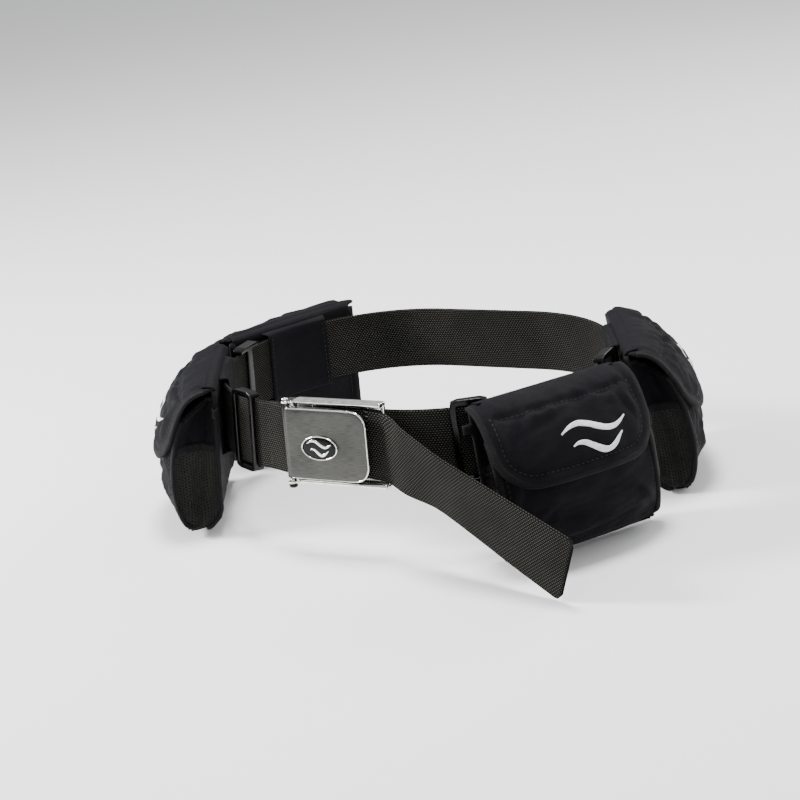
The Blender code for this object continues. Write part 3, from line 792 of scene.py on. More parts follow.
def both_ends(stations):
    """Bar that ends alike below and above."""
    return [(-up, radius) for up, radius in stations] + stations[::-1]


def domed(half, radius, dome):
    """Bar with domed ends."""
    return both_ends([(half - dome * (1 - sin(a)), radius * cos(a))
                      for a in (radians(d) for d in (80, 60, 40, 20, 0))])


def buckle_bars():
    end_bar, roll = END_BAR_RADIUS, 0.0016
    fit(lathe("frame_end_bar", END_BAR_ALONG, BASE_MID,
              domed(WALL_INNER + 0.001, end_bar, 0.0005), CHROME), "root", "chrome")
    fit(lathe("frame_front_roll", FRAME_RIGHT - roll, BASE_MID + 0.0005,
              domed(WALL_INNER + 0.0008, roll, 0.0006), CHROME), "root", "chrome")
    fit(lathe("hinge_pin_riveted", PIN_ALONG, PIN_OUT, both_ends(PIN_END), CHROME),
        "root", "chrome", "buckle_hinge_pin")
    fit(lathe("hinge_pin_end_cap", PIN_ALONG, PIN_OUT - 0.0005, PIN_CAP, PLASTIC),
        "root", "black_plastic")


def flange_depth(along):
    """How far the lever's folded sides reach below its face."""
    if along <= -0.0050:
        return LEVER_TOP - 0.0062
    if along <= 0.0160:
        return LEVER_TOP - (0.0062 + (along + 0.0050) / 0.0210 * 0.0043)
    return 0.0018


def lever_plate():
    """Pressed plate with folded sides and a turned-down rim round its free end."""
    alongs = [PIN_ALONG + 0.0521 * k / 26 for k in range(27)] + [0.0163, 0.0175]
    alongs += [LEVER_RIGHT - LEVER_CORNER * (1 - sin(radians(7.5 * k))) * 0.9995
               for k in range(1, 13)]
    rows = []
    for along in alongs:
        half = rounded_half(LEVER_HALF, LEVER_CORNER, LEVER_RIGHT - along)
        low, straight = LEVER_TOP - flange_depth(along), flange_depth(along) - LEVER_BEND
        edge = [(half, low + straight * t) for t in (0.0, 0.35, 0.7, 1.0)]
        edge += [(half - LEVER_BEND * (1 - cos(a)), LEVER_TOP - LEVER_BEND * (1 - sin(a)))
                 for a in (radians(d) for d in (22, 45, 68, 90))]
        edge += [((half - LEVER_BEND) * (1 - k / 8), LEVER_TOP) for k in range(1, 8)]
        row = edge + [(0.0, LEVER_TOP)] + [(-up, out) for up, out in reversed(edge)]
        rows.append([buckle_point(along, out, up) for up, out in row])
    end, turn = rows[-1], BUCKLE.to_3x3()
    for ahead, inward in ((0.0004, 0.0003), (0.0005, 0.0012)):
        rows.append([point + turn @ Vector((ahead, -inward, 0.0)) for point in end])
    plate = thicken(surface("lever_plate_pressed", rows, STEEL), SHEET_METAL * 0.8, -1.0)
    fit(plate, "lever", "steel", "buckle_lever")


def lever_knuckle():
    """Sheet rolled round the pin."""
    ring = turn_points(PIN_ALONG, PIN_OUT, KNUCKLE_RADIUS - SHEET_METAL / 2, 88, 354, 19)
    rows = [[buckle_point(along, out, LEVER_HALF * share) for along, out in ring]
            for share in evenly(2)]
    knuckle = thicken(surface("lever_knuckle_rolled", rows, STEEL), SHEET_METAL)
    fit(round_edges(knuckle, 0.0002), "lever", "steel")


def lever_cam():
    """Toothed bar that bites the strap."""
    foot = TAIL_OUT + WEB_THICK / 2 + GAP
    under = LEVER_TOP - SHEET_METAL
    outline = [(CAM_LEFT, under), (CAM_LEFT, foot + 0.0015)]
    step = (CAM_RIGHT - CAM_LEFT) / CAM_TEETH
    for k in range(CAM_TEETH):
        outline += [(CAM_LEFT + (k + 0.5) * step, foot), (CAM_LEFT + (k + 1) * step, foot + 0.0006)]
    outline.append((CAM_RIGHT, under))
    fit(extrude("lever_cam_toothed", outline, -CAM_HALF, CAM_HALF, STEEL, 0.00012),
        "lever", "steel")


def lever_edges():
    """Polished rim round the lever's free end, and polished faces on its folded sides."""
    rim = []
    for share in evenly(20):
        straight = max(-1.0, min(1.0, share / 0.1))
        a = copysign(radians(90) * max(0.0, (abs(share) - 0.1) / 0.9), share)
        along = LEVER_RIGHT - LEVER_CORNER + (LEVER_CORNER - 0.0004) * cos(a)
        up = (LEVER_HALF - LEVER_CORNER) * straight + (LEVER_CORNER - 0.0004) * sin(a)
        rim.append(buckle_point(along, LEVER_TOP - 0.0006, up))
    fit(sweep("lever_polished_rim", rim, [BUCKLE_OUTWARD] * len(rim),
              oval(0.0006, 0.0007, count=10), CHROME), "lever", "chrome")
    for side, word in ((1, "upper"), (-1, "lower")):
        rows = []
        for k in range(25):
            along = PIN_ALONG + 0.001 + 0.053 * k / 24
            half = max(0.0010, min(0.0058, flange_depth(along) - GAP)) / 2
            rows.append([buckle_point(along, LEVER_TOP - half - 0.0001 + b,
                                      side * (LEVER_HALF - 0.0002) + a)
                         for a, b in oval(0.0005, half, 0.7, 14)])
        fit(tube(f"lever_polished_fold_{word}", rows, CHROME), "lever", "chrome")


def wave_strokes(centre_along, centre_up, long, tall):
    """A plain two-line wave mark, as (along, up, half width) lines."""
    strokes = []
    for k, (offset, share) in enumerate(((0.30, 1.0), (-0.30, 0.78))):
        strokes.append([(centre_along + long * share * (t - 0.5),
                         centre_up + tall * (offset + 0.22 * sin(2 * pi * (t + 0.12 * k))),
                         tall * 0.115 * arch(min(max(t, 0.03), 0.97)) ** 0.6)
                        for t in (n / 24 for n in range(25))])
    return strokes


def stroke(name, points, normals, widths, height, look):
    """Flat tapering line on a surface."""
    rows = []
    for k, (point, normal, width) in enumerate(zip(points, normals, widths)):
        side = normal.cross(heading(points, k).normalized()).normalized()
        rows.append([point + side * width * a + normal * height * b for a, b in (
            (1, -0.6), (1, 0.6), (0.6, 1), (0, 1.1), (-0.6, 1), (-1, 0.6), (-1, -0.6))])
    return tube(name, rows, look)


def emblem():
    """Oval badge: chrome rim, domed dark enamel and a plain wave mark."""
    low, face = LEVER_TOP + 0.0002, 0.00105

    def ring(inset, share, rise):
        turns = [2 * pi * k / 64 for k in range(64)]
        return [buckle_point(EMBLEM_ALONG + (EMBLEM_HALF_LONG - inset) * share * cos(a),
                             low + rise, EMBLEM_UP + (EMBLEM_HALF_TALL - inset) * share * sin(a))
                for a in turns]

    bezel = sweep("badge_rim", ring(0.0005, 1.0, 0.0005), [BUCKLE_OUTWARD] * 64,
                  oval(0.0005, 0.0008, 0.8, 14), CHROME, closed=True)
    fit(bezel, "lever", "chrome", "emblem_bezel")
    rows = [ring(0.0007, share, rise) for share, rise in (
        (1.0, 0.0), (1.0, 0.0005), (0.9, 0.00075), (0.7, 0.0009), (0.4, face), (0.1, 0.0011))]
    fit(tube("badge_plate", rows, ENAMEL), "lever", "enamel", "emblem_plate")
    for k, line in enumerate(wave_strokes(EMBLEM_ALONG, EMBLEM_UP, 0.0200, 0.0100)):
        points = [buckle_point(along, low + face, up) for along, up, _ in line]
        widths = [width for _, _, width in line]
        fit(stroke(f"badge_wave_{k}", points, [BUCKLE_OUTWARD] * 25, widths, 0.00018, CHROME),
            "lever", "chrome")


# Keepers.

def keeper(name, u):
    """Moulded slide: bars joined into one body, with every edge melted round."""
    place = seat(u)
    long, tall, bar = KEEPER_HALF_LONG, KEEPER_HALF_TALL, KEEPER_BAR
    boxes = []
    for side in (-1, 1):
        a, b = sorted((side * (long - bar), side * long))
        boxes.append(((a, 0.0002, -tall), (b, KEEPER_FRONT, tall)))
        c, d = sorted((side * KEEPER_CHANNEL, side * tall))
        boxes.append(((-long, KEEPER_BACK, c), (long, KEEPER_FRONT, d)))
    boxes.append(((-bar + 0.001, KEEPER_BACK, -tall), (bar - 0.001, -WEB_THICK - 0.0004, tall)))
    mesh = bmesh.new()
    mesh.loops.layers.uv.new("metres")
    for low, high in boxes:
        low, high = Vector(low), Vector(high)
        for vert in bmesh.ops.create_cube(mesh, size=1.0)["verts"]:
            vert.co = (low + high) / 2 + Vector(a * b for a, b in zip(vert.co, high - low))
    body = make(f"keeper_{name}_moulded", mesh, PLASTIC)
    remesh = body.modifiers.new("joined", "REMESH")
    remesh.mode = "VOXEL"
    remesh.voxel_size = 0.00055
    smooth = body.modifiers.new("melted", "SMOOTH")
    smooth.factor = 0.5
    smooth.iterations = 9
    apply_modifiers(body)
    for vert in body.data.vertices:
        corner = max(0.0, abs(vert.co.x) - long + 0.006) * max(0.0, abs(vert.co.z) - tall + 0.006)
        vert.co.x -= copysign(corner * 38, vert.co.x)
        vert.co.z -= copysign(corner * 38, vert.co.z)
        vert.co = place @ vert.co
    body.data.shade_smooth()
    fit(body, f"keeper_{name}", "black_plastic", f"keeper_{name}")


# Pockets.

def outline(layer, angle):
    """Point (out, up) on the pocket's middle section, layer out from the front's face."""
    a = radians(angle)
    root, rise = (TOP_ROOT, TOP_RISE) if angle > 0 else (BOTTOM_ROOT, BOTTOM_DROP)
    return root + (BELLY_OUT - root + layer) * cos(a), BELLY_UP + (rise + layer) * sin(a)


def crowned(along, out):
    """Depth at a distance from the pocket's middle, where a middle point is out deep."""
    share = min(abs(along / POCKET_HALF), 1.05)
    return BACK_OUT + (out - BACK_OUT) * (1.0 - CROWN * share ** CROWN_POWER)


def shell(along, angle, layer):
    """Local point on the smooth crowned front."""
    out, up = outline(layer, angle)
    return Vector((along, crowned(along, out), up))


def angle_at(up, layer):
    """Angle on the outline at a height."""
    rise = (TOP_RISE if up > BELLY_UP else BOTTOM_DROP) + layer
    return degrees(asin(max(-1.0, min(1.0, (up - BELLY_UP) / rise))))


def side_depth(up):
    """How far out the gusset reaches at a height."""
    rise, root = (TOP_RISE, TOP_ROOT) if up > BELLY_UP else (BOTTOM_DROP, BOTTOM_ROOT)
    share = min(1.0, abs(up - BELLY_UP) / (rise - FABRIC))
    return crowned(POCKET_HALF, root + (BELLY_OUT - root - FABRIC) * sqrt(1.0 - share * share))


def back_out(up):
    """Middle of the back panel, which curls forward into the rounded bottom."""
    rise = max(0.0, (POCKET_BOTTOM + BOTTOM_CURL - up) / BOTTOM_CURL)
    return BACK_OUT + FABRIC / 2 + BOTTOM_CURL * 0.75 * rise ** 2.2


def half_at(half, up):
    """Half width of a panel at a height, with its lower corners rounded."""
    return rounded_half(half, SOFT_CORNER, up - POCKET_BOTTOM)


def panel_edge(half, low, corner, top_angle, layer):
    """(along, angle) places round a front panel or flap."""
    return trough(half, low, corner, top_angle, 26, 24, lambda up: angle_at(up, layer))


def back_edge(inset, bottom_inset, top_inset):
    """(along, up) places round the back panel."""
    return trough(BACK_HALF - inset, POCKET_BOTTOM + bottom_inset, SOFT_CORNER,
                  BACK_TOP - top_inset, 20, 20)


def creases(along, up, table):
    """Height of sharp folds: each is a valley with a soft ridge beside it."""
    total = 0.0
    for middle, height, slope, long, wide, deep in table:
        a = radians(slope)
        along_fold = ((along - middle) * cos(a) + (up - height) * sin(a)) / long
        aside = ((up - height) * cos(a) - (along - middle) * sin(a)) / wide
        total += deep * exp(-along_fold * along_fold) * (
            0.8 * exp(-((aside - 1.7) / 1.3) ** 2) - exp(-aside * aside))
    return total


def flap_inside(along, up):
    """Distance of a point on the flap from its free edge."""
    rise = up - outline(FLAP_LAYER, FLAP_END_ANGLE)[1]
    if rise < FLAP_CORNER and abs(along) > FLAP_HALF - FLAP_CORNER:
        return FLAP_CORNER - hypot(abs(along) - FLAP_HALF + FLAP_CORNER, FLAP_CORNER - rise)
    return min(rounded_half(FLAP_HALF, FLAP_CORNER, rise) - abs(along), rise)


class Pocket:
    """One pocket: its place on the belt, its soft surfaces, and how pieces are sewn to it."""

    def __init__(self, name, u, drop, caved):
        self.u, self.drop, self.caved = u, drop, caved
        self.body, self.lid = f"pocket_{name}", f"pocket_{name}_flap"
        self.place = seat(u, drop)
        self.seed = 17.0 * u

    def world(self, along, out, up):
        return self.place @ Vector((along, out, up))

    def facing(self, along, out, up):
        return self.place.to_3x3() @ Vector((along, out, up))

    def wobble(self, a, b, scale):
        return noise.noise(Vector((a * scale, b * scale, self.seed)))

    def front(self, along, angle):
        """Local point on the front, with its soft folds; flat under the loop tape."""
        out, up = outline(0.0, angle)
        side = min(1.0, abs(along) / POCKET_HALF)
        taped = (smooth_step(PATCH_HALF + 0.014 - abs(along), 0.0, 0.012)
                 * smooth_step(angle, 4, 13))
        loose = (smooth_step(MOUTH_ANGLE - angle, 0, 30) * smooth_step(angle, -88, -55)
                 * (1 - side ** 6) * (1 - taped))
        fold = RIPPLE * (1.5 * self.wobble(along, up * 2.6, 26) + 0.9 * self.wobble(along, up, 70)
                         + 0.35 * self.wobble(along * 0.5, up * 1.6, 190))
        sag = 0.0014 * sin(up * 260 + 2 * along * 40) * smooth_step(-up, 0.02, 0.07)
        sharp = creases(-self.caved * along, up, FRONT_CREASES) * loose
        return Vector((along, crowned(along, out) + (fold + sag) * loose + sharp, up))

    def curl(self, along, up, angle):
        """How far the flap's free edge stands off."""
        return EDGE_CURL * (0.5 + self.wobble(along, up, 34)) * smooth_step(80 - angle, 0, 25)

    def flap(self, along, angle):
        """Local point on the flap's outer face: padding, seam channel, puckers and folds."""
        up = outline(FLAP_LAYER, angle)[1]
        inside = flap_inside(along, up)
        top = (angle - SEAM_TOP_ANGLE) / 3.5
        seam = min(abs(inside - SEAM_INSET) / 0.0030, abs(top) if inside > SEAM_INSET else 9.0)
        channel = 1.0 - exp(-seam * seam)
        rim = smooth_step(inside, -0.0005, 0.003)
        pad = FLAP_PAD * channel * rim * (0.55 if inside < SEAM_INSET else 1.0)
        loose = smooth_step(inside, 0.0, 0.012) * smooth_step(88 - angle, 0, 12)
        pucker = (0.0007 * sin(along * 420 + 3 * self.wobble(along, 0.3, 40))
                  * exp(-((angle - SEAM_TOP_ANGLE) / 11) ** 2))
        fold = RIPPLE * (1.3 * self.wobble(along * 1.7, (up + 0.2) * 0.8, 30)
                         + 0.8 * self.wobble(along, up + 0.5, 80)
                         + 0.3 * self.wobble(along, up * 1.5, 200))
        sharp = creases(-self.caved * along + 0.004 * sin(self.seed), up, FLAP_CREASES)
        curl = self.curl(along, up, angle) * (1 - smooth_step(inside, 0.0, 0.012))
        layer = FLAP_FACE + pad + (fold + pucker + sharp) * loose * 0.8 + curl
        return shell(along, angle, max(layer, FLAP_LAYER + FABRIC * 0.8))

    def flap_middle(self, along, angle):
        """Local point halfway through the flap's free edge."""
        curl = self.curl(along, outline(FLAP_LAYER, angle)[1], angle)
        return shell(along, angle, FLAP_LAYER + FABRIC * 0.55 + curl * 0.8)

    def normal(self, shape, along, angle):
        """Outward world normal of a surface function."""
        step_a = shape(along + 0.0006, angle) - shape(along - 0.0006, angle)
        step_b = shape(along, angle + 0.6) - shape(along, angle - 0.6)
        return (self.place.to_3x3() @ step_a.cross(step_b) * -1.0).normalized()

    def line(self, shape, places):
        """World points and normals of (along, angle) places on a surface function."""
        return ([self.place @ shape(along, angle) for along, angle in places],
                [self.normal(shape, along, angle) for along, angle in places])

    def under(self, spot, share, rise):
        """World point on the underside, from the back panel (0) to the front (1)."""
        back = half_at(BACK_HALF, POCKET_BOTTOM)
        half = back + (half_at(POCKET_HALF, POCKET_BOTTOM) - back) * share
        start = back_out(POCKET_BOTTOM)
        return self.world(spot * half, start + (BOTTOM_ROOT - start) * share, POCKET_BOTTOM + rise)

    def gusset(self, place, share):
        """Local point across the gusset, with its collapse and pleats."""
        back, front, up, outward = place
        depth_back, depth_front = back_out(up) + FABRIC / 2, side_depth(up)
        side = 1 if outward.x > 0 else -1
        caved = side == self.caved
        bow, pleat, across, upward = CAVED_SIDE if caved else FULL_SIDE
        tall = smooth_step(up, POCKET_BOTTOM + 0.002, POCKET_BOTTOM + 0.03)
        hump = max(0.0, arch(share ** (1.0 if caved else 1.5))) ** 0.8
        rough = 0.0014 * self.wobble(up + 0.3 * side, share * 0.05, 70)
        pleated = pleat * sin(share * across + up * upward)
        shift = (bow * tall * hump + (pleated + rough) * arch(share)) * outward.x ** 2
        gather = 0.0007 * sin((back + up) * 700) * arch(share) * (1 - tall)
        along = back + (front - back) * share
        out = depth_back + (depth_front - depth_back) * share
        if not caved and outward.z == 0.0:
            up += SIDE_EXTRA * (1.0 - share) * smooth_step(up, -0.06, HEM_UP)
        return Vector((along, out, up)) + outward * (shift + gather)

    def fit(self, piece, *nodes):
        """Rides a piece on the flap if it is named after it, or else on the pocket."""
        body = self.lid if piece.name.startswith(self.lid) else self.body
        return fit(piece, body, "nylon", *(f"{self.body}_{node}" for node in nodes))

    def sheet(self, word, rows, look, thickness, *nodes, offset=0.0):
        """Sheet of cloth, mesh or tape."""
        piece = surface(f"{self.body}_{word}", rows, look)
        return self.fit(thicken(piece, thickness, offset), *nodes)

    def tape(self, word, points, normals, end=""):
        """Tape round an edge."""
        self.fit(sweep(f"{self.body}_{word}{end}", points, normals, oval(*TAPES[word]), TAPE))

    def sew(self, word, *lines):
        self.fit(stitches(f"{self.body}_{word}", lines))


def front_panel(pocket):
    """Front of the pocket, in one piece with its bottom."""
    alongs = crowded(44)
    rows = [[pocket.under(a, k / 6, -BOTTOM_SAG * arch(k / 6)) for a in alongs] for k in range(6)]
    for angle in (-90 + (MOUTH_ANGLE + 90) * k / 64 for k in range(65)):
        half = half_at(POCKET_HALF, outline(0.0, angle)[1])
        rows.append([pocket.place @ pocket.front(half * a, angle) for a in alongs])
    panel = pocket.sheet("front_cloth", rows, CLOTH, FABRIC, "front_panel", offset=-1.0)


def front_seams(pocket):
    """Bound seam where the front meets the gusset, and the hem of the mouth."""
    downward = pocket.facing(0.0, 0.0, -1.0)
    angles = [MOUTH_ANGLE - (MOUTH_ANGLE + 89) * k / 60 for k in range(61)]
    ups = [outline(0.0, angle)[1] for angle in angles]
    for side, word in ((-1, "_left"), (1, "_right")):
        points, normals = pocket.line(pocket.front, [
            (side * half_at(POCKET_HALF, up), angle) for up, angle in zip(ups, angles)])
        for point, up in zip(points, ups):
            point -= downward * BINDING_TUCK * (1 - smooth_step(up - POCKET_BOTTOM, 0.0, 0.006))
        points += [pocket.under(side, 1 - k / 8, BINDING_TUCK * 0.6) for k in range(1, 9)]
        pocket.tape("front_binding", points, normals + [downward] * 8, word)
    mouth = [(POCKET_HALF * share, MOUTH_ANGLE - 2.5) for share in evenly(30)]
    pocket.tape("mouth_hem", *pocket.line(pocket.front, mouth))
    inner = panel_edge(POCKET_HALF - 0.0042, POCKET_BOTTOM + 0.0050, SOFT_CORNER,
                       MOUTH_ANGLE - 6, 0.0)
    hem = [(0.052 * share, MOUTH_ANGLE - 6.2) for share in evenly(30)]
    pocket.sew("front_stitching", pocket.line(pocket.front, inner),
               pocket.line(pocket.front, hem))


def gusset_path():
    """Side, bottom and side of the gusset, as (back along, front along, up, outward) places."""
    low, r = POCKET_BOTTOM + 0.0012, SOFT_CORNER
    left = [(-BACK_HALF, -GUSSET_FRONT, HEM_UP + (low + r - HEM_UP) * k / 13,
             Vector((-1.0, 0.0, 0.0))) for k in range(14)]
    for a in (pi + radians(10 * k) for k in range(1, 10)):
        shift = r + r * cos(a)
        left.append((-BACK_HALF + shift, -GUSSET_FRONT + shift, low + r + r * sin(a),
                     Vector((cos(a), 0.0, sin(a)))))
    bottom = [((BACK_HALF - r) * t, (GUSSET_FRONT - r) * t, low, Vector((0.0, 0.0, -1.0)))
              for t in evenly(12)[1:-1]]
    return left + bottom + [(-back, -front, up, Vector((-outward.x, 0.0, outward.z)))
                            for back, front, up, outward in reversed(left)]


def gusset(pocket):
    """Mesh round the sides and bottom, hemmed at both ends."""
    places = gusset_path()
    rows = [[pocket.place @ pocket.gusset(place, k / 20) for k in range(21)] for place in places]
    pocket.sheet("gusset_mesh", rows, MESH, THIN_CLOTH, "gusset")
    shift = pocket.facing(0.0, 0.0, -0.0026)
    for end, word in ((0, "_left"), (-1, "_right")):
        points, outward = rows[end], pocket.place.to_3x3() @ places[end][3]
        pocket.tape("gusset_hem", points, [outward] * 21, word)
        pocket.sew(f"gusset_stitching{word}",
                   ([p + outward * 0.0012 + shift for p in points], [outward] * 21))


def side_wall(pocket):
    """Cloth above the mesh of the caved side, up to the mouth and the back panel."""
    side = pocket.caved
    rows = []
    for rise in (k / 14 for k in range(15)):
        row = []
        for share in (k / 20 for k in range(21)):
            top = WALL_TOP_BACK + (WALL_TOP_FRONT - WALL_TOP_BACK) * share
            up = HEM_UP + (top - HEM_UP) * rise
            point = pocket.gusset((side * BACK_HALF, side * GUSSET_FRONT, up,
                                   Vector((side, 0.0, 0.0))), share)
            slack = WALL_SLACK * rise * arch(share)
            point.x -= side * slack * (1 + 0.5 * pocket.wobble(up, share * 0.06, 60))
            row.append(pocket.place @ point)
        rows.append(row)
    pocket.sheet("side_wall_cloth", rows, CLOTH, 0.0010)
    pocket.tape("side_wall_hem", rows[-1], [pocket.facing(side, 0.0, 0.0)] * 21)


def back_panel(pocket):
    """Flat back of the pocket, with its binding and seam."""
    rows = []
    ups = [POCKET_BOTTOM + d / 1000 for d in (0, 0.3, 1, 2, 3.5, 5, 6.5, 8, 10, 12, 14)]
    ups += [ups[-1] + (BACK_TOP - ups[-1]) * k / 30 for k in range(1, 31)]
    for up in ups:
        row = []
        for share in evenly(15):
            along = half_at(BACK_HALF, up) * share
            puff = 0.0006 * (1 + pocket.wobble(along, up, 45)) * (1 - (along / BACK_HALF) ** 4)
            row.append(pocket.world(along, back_out(up) + puff * smooth_step(-up, 0.03, 0.05), up))
        rows.append(row)
    pocket.sheet("back_cloth", rows, CLOTH, FABRIC, "back_panel")
    outward = pocket.facing(0.0, 1.0, 0.0)
    points = [pocket.world(along, back_out(up), up) for along, up in back_edge(0.0, 0.0006, 0.0)]
    pocket.tape("back_binding", points, [outward] * len(points))
    points = [pocket.world(along, back_out(up) - FABRIC / 2 - 0.0001, up)
              for along, up in back_edge(0.005, 0.0058, 0.003)]
    pocket.sew("back_stitching", (points, [-outward] * len(points)))


def sleeve(pocket):
    """Tunnel on the pocket's back that the webbing runs through."""
    inner, front, turn_up = -WEB_THICK - 0.0011, BACK_OUT - 0.0002, 0.0268
    turned = [(front - 0.0006, 0.0284), (inner + 0.0022, 0.0282), (inner + 0.0006, 0.0278),
              (inner, turn_up)]
    section = turned + [(inner, turn_up * (1 - t / 4)) for t in range(1, 8)]
    section += [(out, -up) for out, up in reversed(turned)]
    rows = []
    for run in (SLEEVE_HALF * share for share in evenly(12)):
        along = (SIDE_RADIUS + front) * tan(run / SIDE_RADIUS)
        rows.append([pocket.world(along, front, 0.0286),
                     *(belt_point(pocket.u + run, out, up - pocket.drop) for out, up in section),
                     pocket.world(along, front, -0.0300)])
    pocket.sheet("sleeve_cloth", rows, CLOTH, 0.0011, "sleeve")
    lines = []
    for u in (pocket.u - SLEEVE_HALF + 0.003, pocket.u + SLEEVE_HALF - 0.003):
        points = [belt_point(u, inner - 0.0006, up / 1000 - pocket.drop)
                  for up in range(-25, 26, 2)]
        inward = belt_point(u, -1.0, 0.0) - belt_point(u, 0.0, 0.0)
        lines.append((points, [inward] * len(points)))
    pocket.sew("sleeve_stitching", *lines)


def side_tab(pocket):
    """Small folded loop of tape sewn into the pocket's side seam, near its top."""
    loop = ((0.0, 0.0007), (0.004, 0.0013), (0.008, 0.0016), (0.0102, 0.0012), (0.0108, 0.0),
            (0.0102, -0.0012), (0.008, -0.0014), (0.004, -0.0011), (0.0, -0.0007))
    rows = [[pocket.world(pocket.caved * (BACK_HALF - 0.002 + reach),
                          BACK_OUT + FABRIC / 2 + lift, 0.0103 + 0.0016 * k)
             for reach, lift in loop] for k in range(5)]
    pocket.sheet("side_tab", rows, TAPE, THIN_CLOTH)


def patches(pocket):
    """Loop tape on the front and hook tape under the flap."""
    shares = evenly(16)
    for word, layer, body, look in (("loop", GAP, pocket.body, LOOPS),
                                    ("hook", PATCH_THICK + 2 * GAP, pocket.lid, HOOKS)):
        rows = []
        for k in range(PATCH_ROWS + 1):
            half = rounded_half(PATCH_HALF, PATCH_CORNER, min(k, PATCH_ROWS - k) * 0.0011)
            row = []
            for t in shares:
                edge = 1.0 if abs(t) < 1 and 0 < k < PATCH_ROWS else 0.35
                row.append(shell(half * t, PATCH_LOW + k, layer + PATCH_THICK * edge * 0.9))
            row += [shell(half * t, PATCH_LOW + k, layer) for t in reversed(shares)]
            rows.append([pocket.place @ point for point in row])
        fit(tube(f"{pocket.body}_{word}_tape", rows, look), body, "hook_loop",
            f"{pocket.body}_{word}_patch")


def flap(pocket):
    """Padded flap with a sewn channel inside its bound edge, turned over onto the back."""
    end = outline(FLAP_FACE, FLAP_END_ANGLE)[1]
    angles = [angle_at(end + FLAP_CORNER * (1 - cos(radians(6 * k))), FLAP_FACE)
              for k in range(15)]
    angles += [angles[-1] + (90 - angles[-1]) * k / 44 for k in range(1, 45)]
    spread = [a * 0.35 + b * 0.65 for a, b in zip(crowded(56), evenly(28))]
    rows = []
    for angle in angles:
        half = rounded_half(FLAP_HALF, FLAP_CORNER, outline(FLAP_FACE, angle)[1] - end)
        rows.append([pocket.place @ pocket.flap(half * t, angle) for t in spread]
                    + [pocket.place @ shell(half * t, angle, FLAP_LAYER) for t in spread[::-1]])
    under = BELLY_UP + TOP_RISE + FLAP_LAYER
    for share in (0.4, 0.8, 1.0):
        middle = TOP_ROOT + (FLAP_BACK_OUT - TOP_ROOT) * share
        half = FLAP_HALF + (BACK_HALF - FLAP_HALF) * share

        def turned(t, lift):
            out = crowned(half * t, middle) * (1 - share) + middle * share
            return pocket.world(half * t, out, under + lift)

        lifts = [(pocket.flap(FLAP_HALF * t, 90).z - under) * (1 - share) + FABRIC * share
                 for t in spread]
        rows.append([turned(t, lift) for t, lift in zip(spread, lifts)]
                    + [turned(t, 0.0) for t in spread[::-1]])
    lid = pocket.fit(tube(f"{pocket.lid}_padded", rows, CLOTH), "flap")


def flap_trim(pocket):
    """Binding, channel stitching and the printed wave mark on the flap."""
    end = outline(FLAP_FACE, FLAP_END_ANGLE)[1]
    edge = panel_edge(FLAP_HALF - 0.0016, end + 0.0014, FLAP_CORNER, 88, FLAP_FACE)
    pocket.tape("flap_binding", *pocket.line(pocket.flap_middle, edge))
    seam = panel_edge(FLAP_HALF - SEAM_INSET, end + SEAM_INSET, FLAP_CORNER - SEAM_INSET * 0.8,
                      SEAM_TOP_ANGLE, FLAP_FACE)
    across = [(-seam[-1][0] * share, SEAM_TOP_ANGLE) for share in evenly(20)]
    pocket.sew("flap_stitching", pocket.line(pocket.flap, seam), pocket.line(pocket.flap, across))
    for k, line in enumerate(wave_strokes(0.012, 0.0, 0.052, 0.020)):
        places = [(along, 31 + up / 0.00105) for along, up, _ in line]
        widths = [width for _, _, width in line]
        pocket.fit(stroke(f"{pocket.lid}_wave_{k}", *pocket.line(pocket.flap, places), widths,
                          0.00035, PRINT))


def flap_hinge(pocket):
    """Strip of cloth that joins the back panel to the flap."""
    section = ((BACK_OUT - 0.0003, 0.0190), (BACK_OUT - 0.0003, 0.0240),
               (BACK_OUT - 0.0001, 0.0276), (BACK_OUT + 0.0007, 0.0296),
               (BACK_OUT + 0.0026, 0.0307), (0.0070, 0.0311), (0.0110, 0.0311))
    line = [(out + (next_out - out) * k / 3, up + (next_up - up) * k / 3)
            for (out, up), (next_out, next_up) in zip(section[:-1], section[1:]) for k in range(3)]
    rows = [[pocket.world(BACK_HALF * share * 0.985, out, up) for share in evenly(16)]
            for out, up in (*line, section[-1])]
    strip = surface(f"{pocket.body}_flap_hinge_strip", rows, CLOTH)
    strip = apply_modifiers(thicken(strip, THIN_CLOTH))
    pocket.world(0.0, BACK_OUT, 0.0262)
    pocket.world(0.0, 0.0062, 0.0312)
    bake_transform(strip)
    fit(strip, None, "nylon")


# Stage.

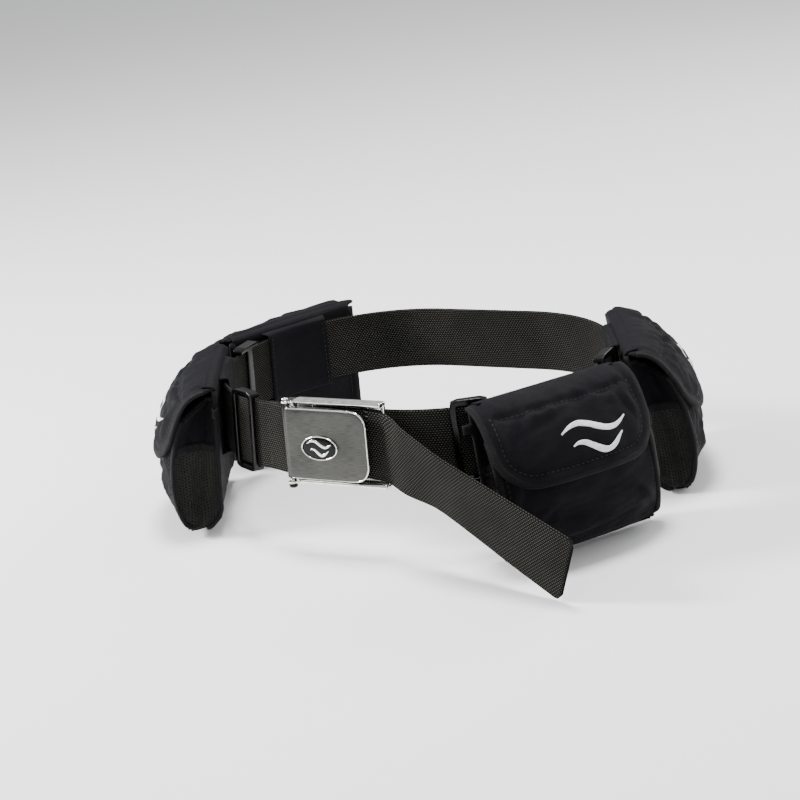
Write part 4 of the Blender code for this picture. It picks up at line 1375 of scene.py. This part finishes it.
def camera():
    azimuth, elevation, roll = (radians(angle) for angle in CAMERA_ANGLES)
    back = Vector((sin(azimuth) * cos(elevation), -cos(azimuth) * cos(elevation), sin(elevation)))
    level = Vector((cos(azimuth), sin(azimuth), 0.0))
    upright = back.cross(level)
    right = level * cos(roll) + upright * sin(roll)
    up = upright * cos(roll) - level * sin(roll)
    data = bpy.data.cameras.new("camera")
    data.lens = CAMERA_LENS
    data.sensor_width = 36.0
    data.shift_x, data.shift_y = CAMERA_SHIFT
    made = link("camera", data)
    turn = Matrix((right, up, back)).transposed().to_4x4()
    made.matrix_world = Matrix.Translation(back * CAMERA_AWAY) @ turn
    bpy.context.scene.camera = made


def floor():
    mesh = bmesh.new()
    bmesh.ops.create_grid(mesh, x_segments=8, y_segments=8, size=4.0)
    bmesh.ops.translate(mesh, verts=mesh.verts, vec=(0.0, 0.0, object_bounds()[0][2] - 0.0005))
    make("floor", mesh, FLOOR)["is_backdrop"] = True


def room():
    """Pale surroundings, brighter above than below, and four soft lamps."""
    world = bpy.data.worlds.new("pale_room")
    world.use_nodes = True
    tree = world.node_tree
    background = tree.nodes["Background"]
    background.inputs["Color"].default_value = (0.93, 0.94, 0.95, 1.0)
    place = tree.nodes.new("ShaderNodeTexCoord")
    split = tree.nodes.new("ShaderNodeSeparateXYZ")
    height = tree.nodes.new("ShaderNodeMapRange")
    tree.links.new(place.outputs["Generated"], split.inputs[0])
    tree.links.new(split.outputs[2], height.inputs[0])
    for number, socket in zip((0.10, 0.45, 0.06, 0.85), height.inputs[1:5]):
        socket.default_value = number
    tree.links.new(height.outputs[0], background.inputs["Strength"])
    bpy.context.scene.world = world
    for name, spot, size, power in LIGHTS:
        data = bpy.data.lights.new(name, "AREA")
        data.shape = "DISK"
        data.size = size
        data.energy = power
        lamp = link(name, data)
        lamp.location = spot
        lamp.rotation_euler = (-Vector(spot)).to_track_quat("-Z", "Y").to_euler()


belt_webbing()
webbing_stitching()
belt_tail()
buckle_base()
buckle_walls()
buckle_bars()
lever_plate()
lever_knuckle()
lever_cam()
lever_edges()
emblem()
for keeper_facts in KEEPERS:
    keeper(*keeper_facts)
for *pocket_facts, has_tab in POCKETS:
    pocket = Pocket(*pocket_facts)
    for part in (back_panel, front_panel, front_seams, gusset, side_wall, sleeve):
        part(pocket)
    if has_tab:
        side_tab(pocket)
    for part in (patches, flap, flap_trim, flap_hinge):
        part(pocket)
floor()
room()
camera()
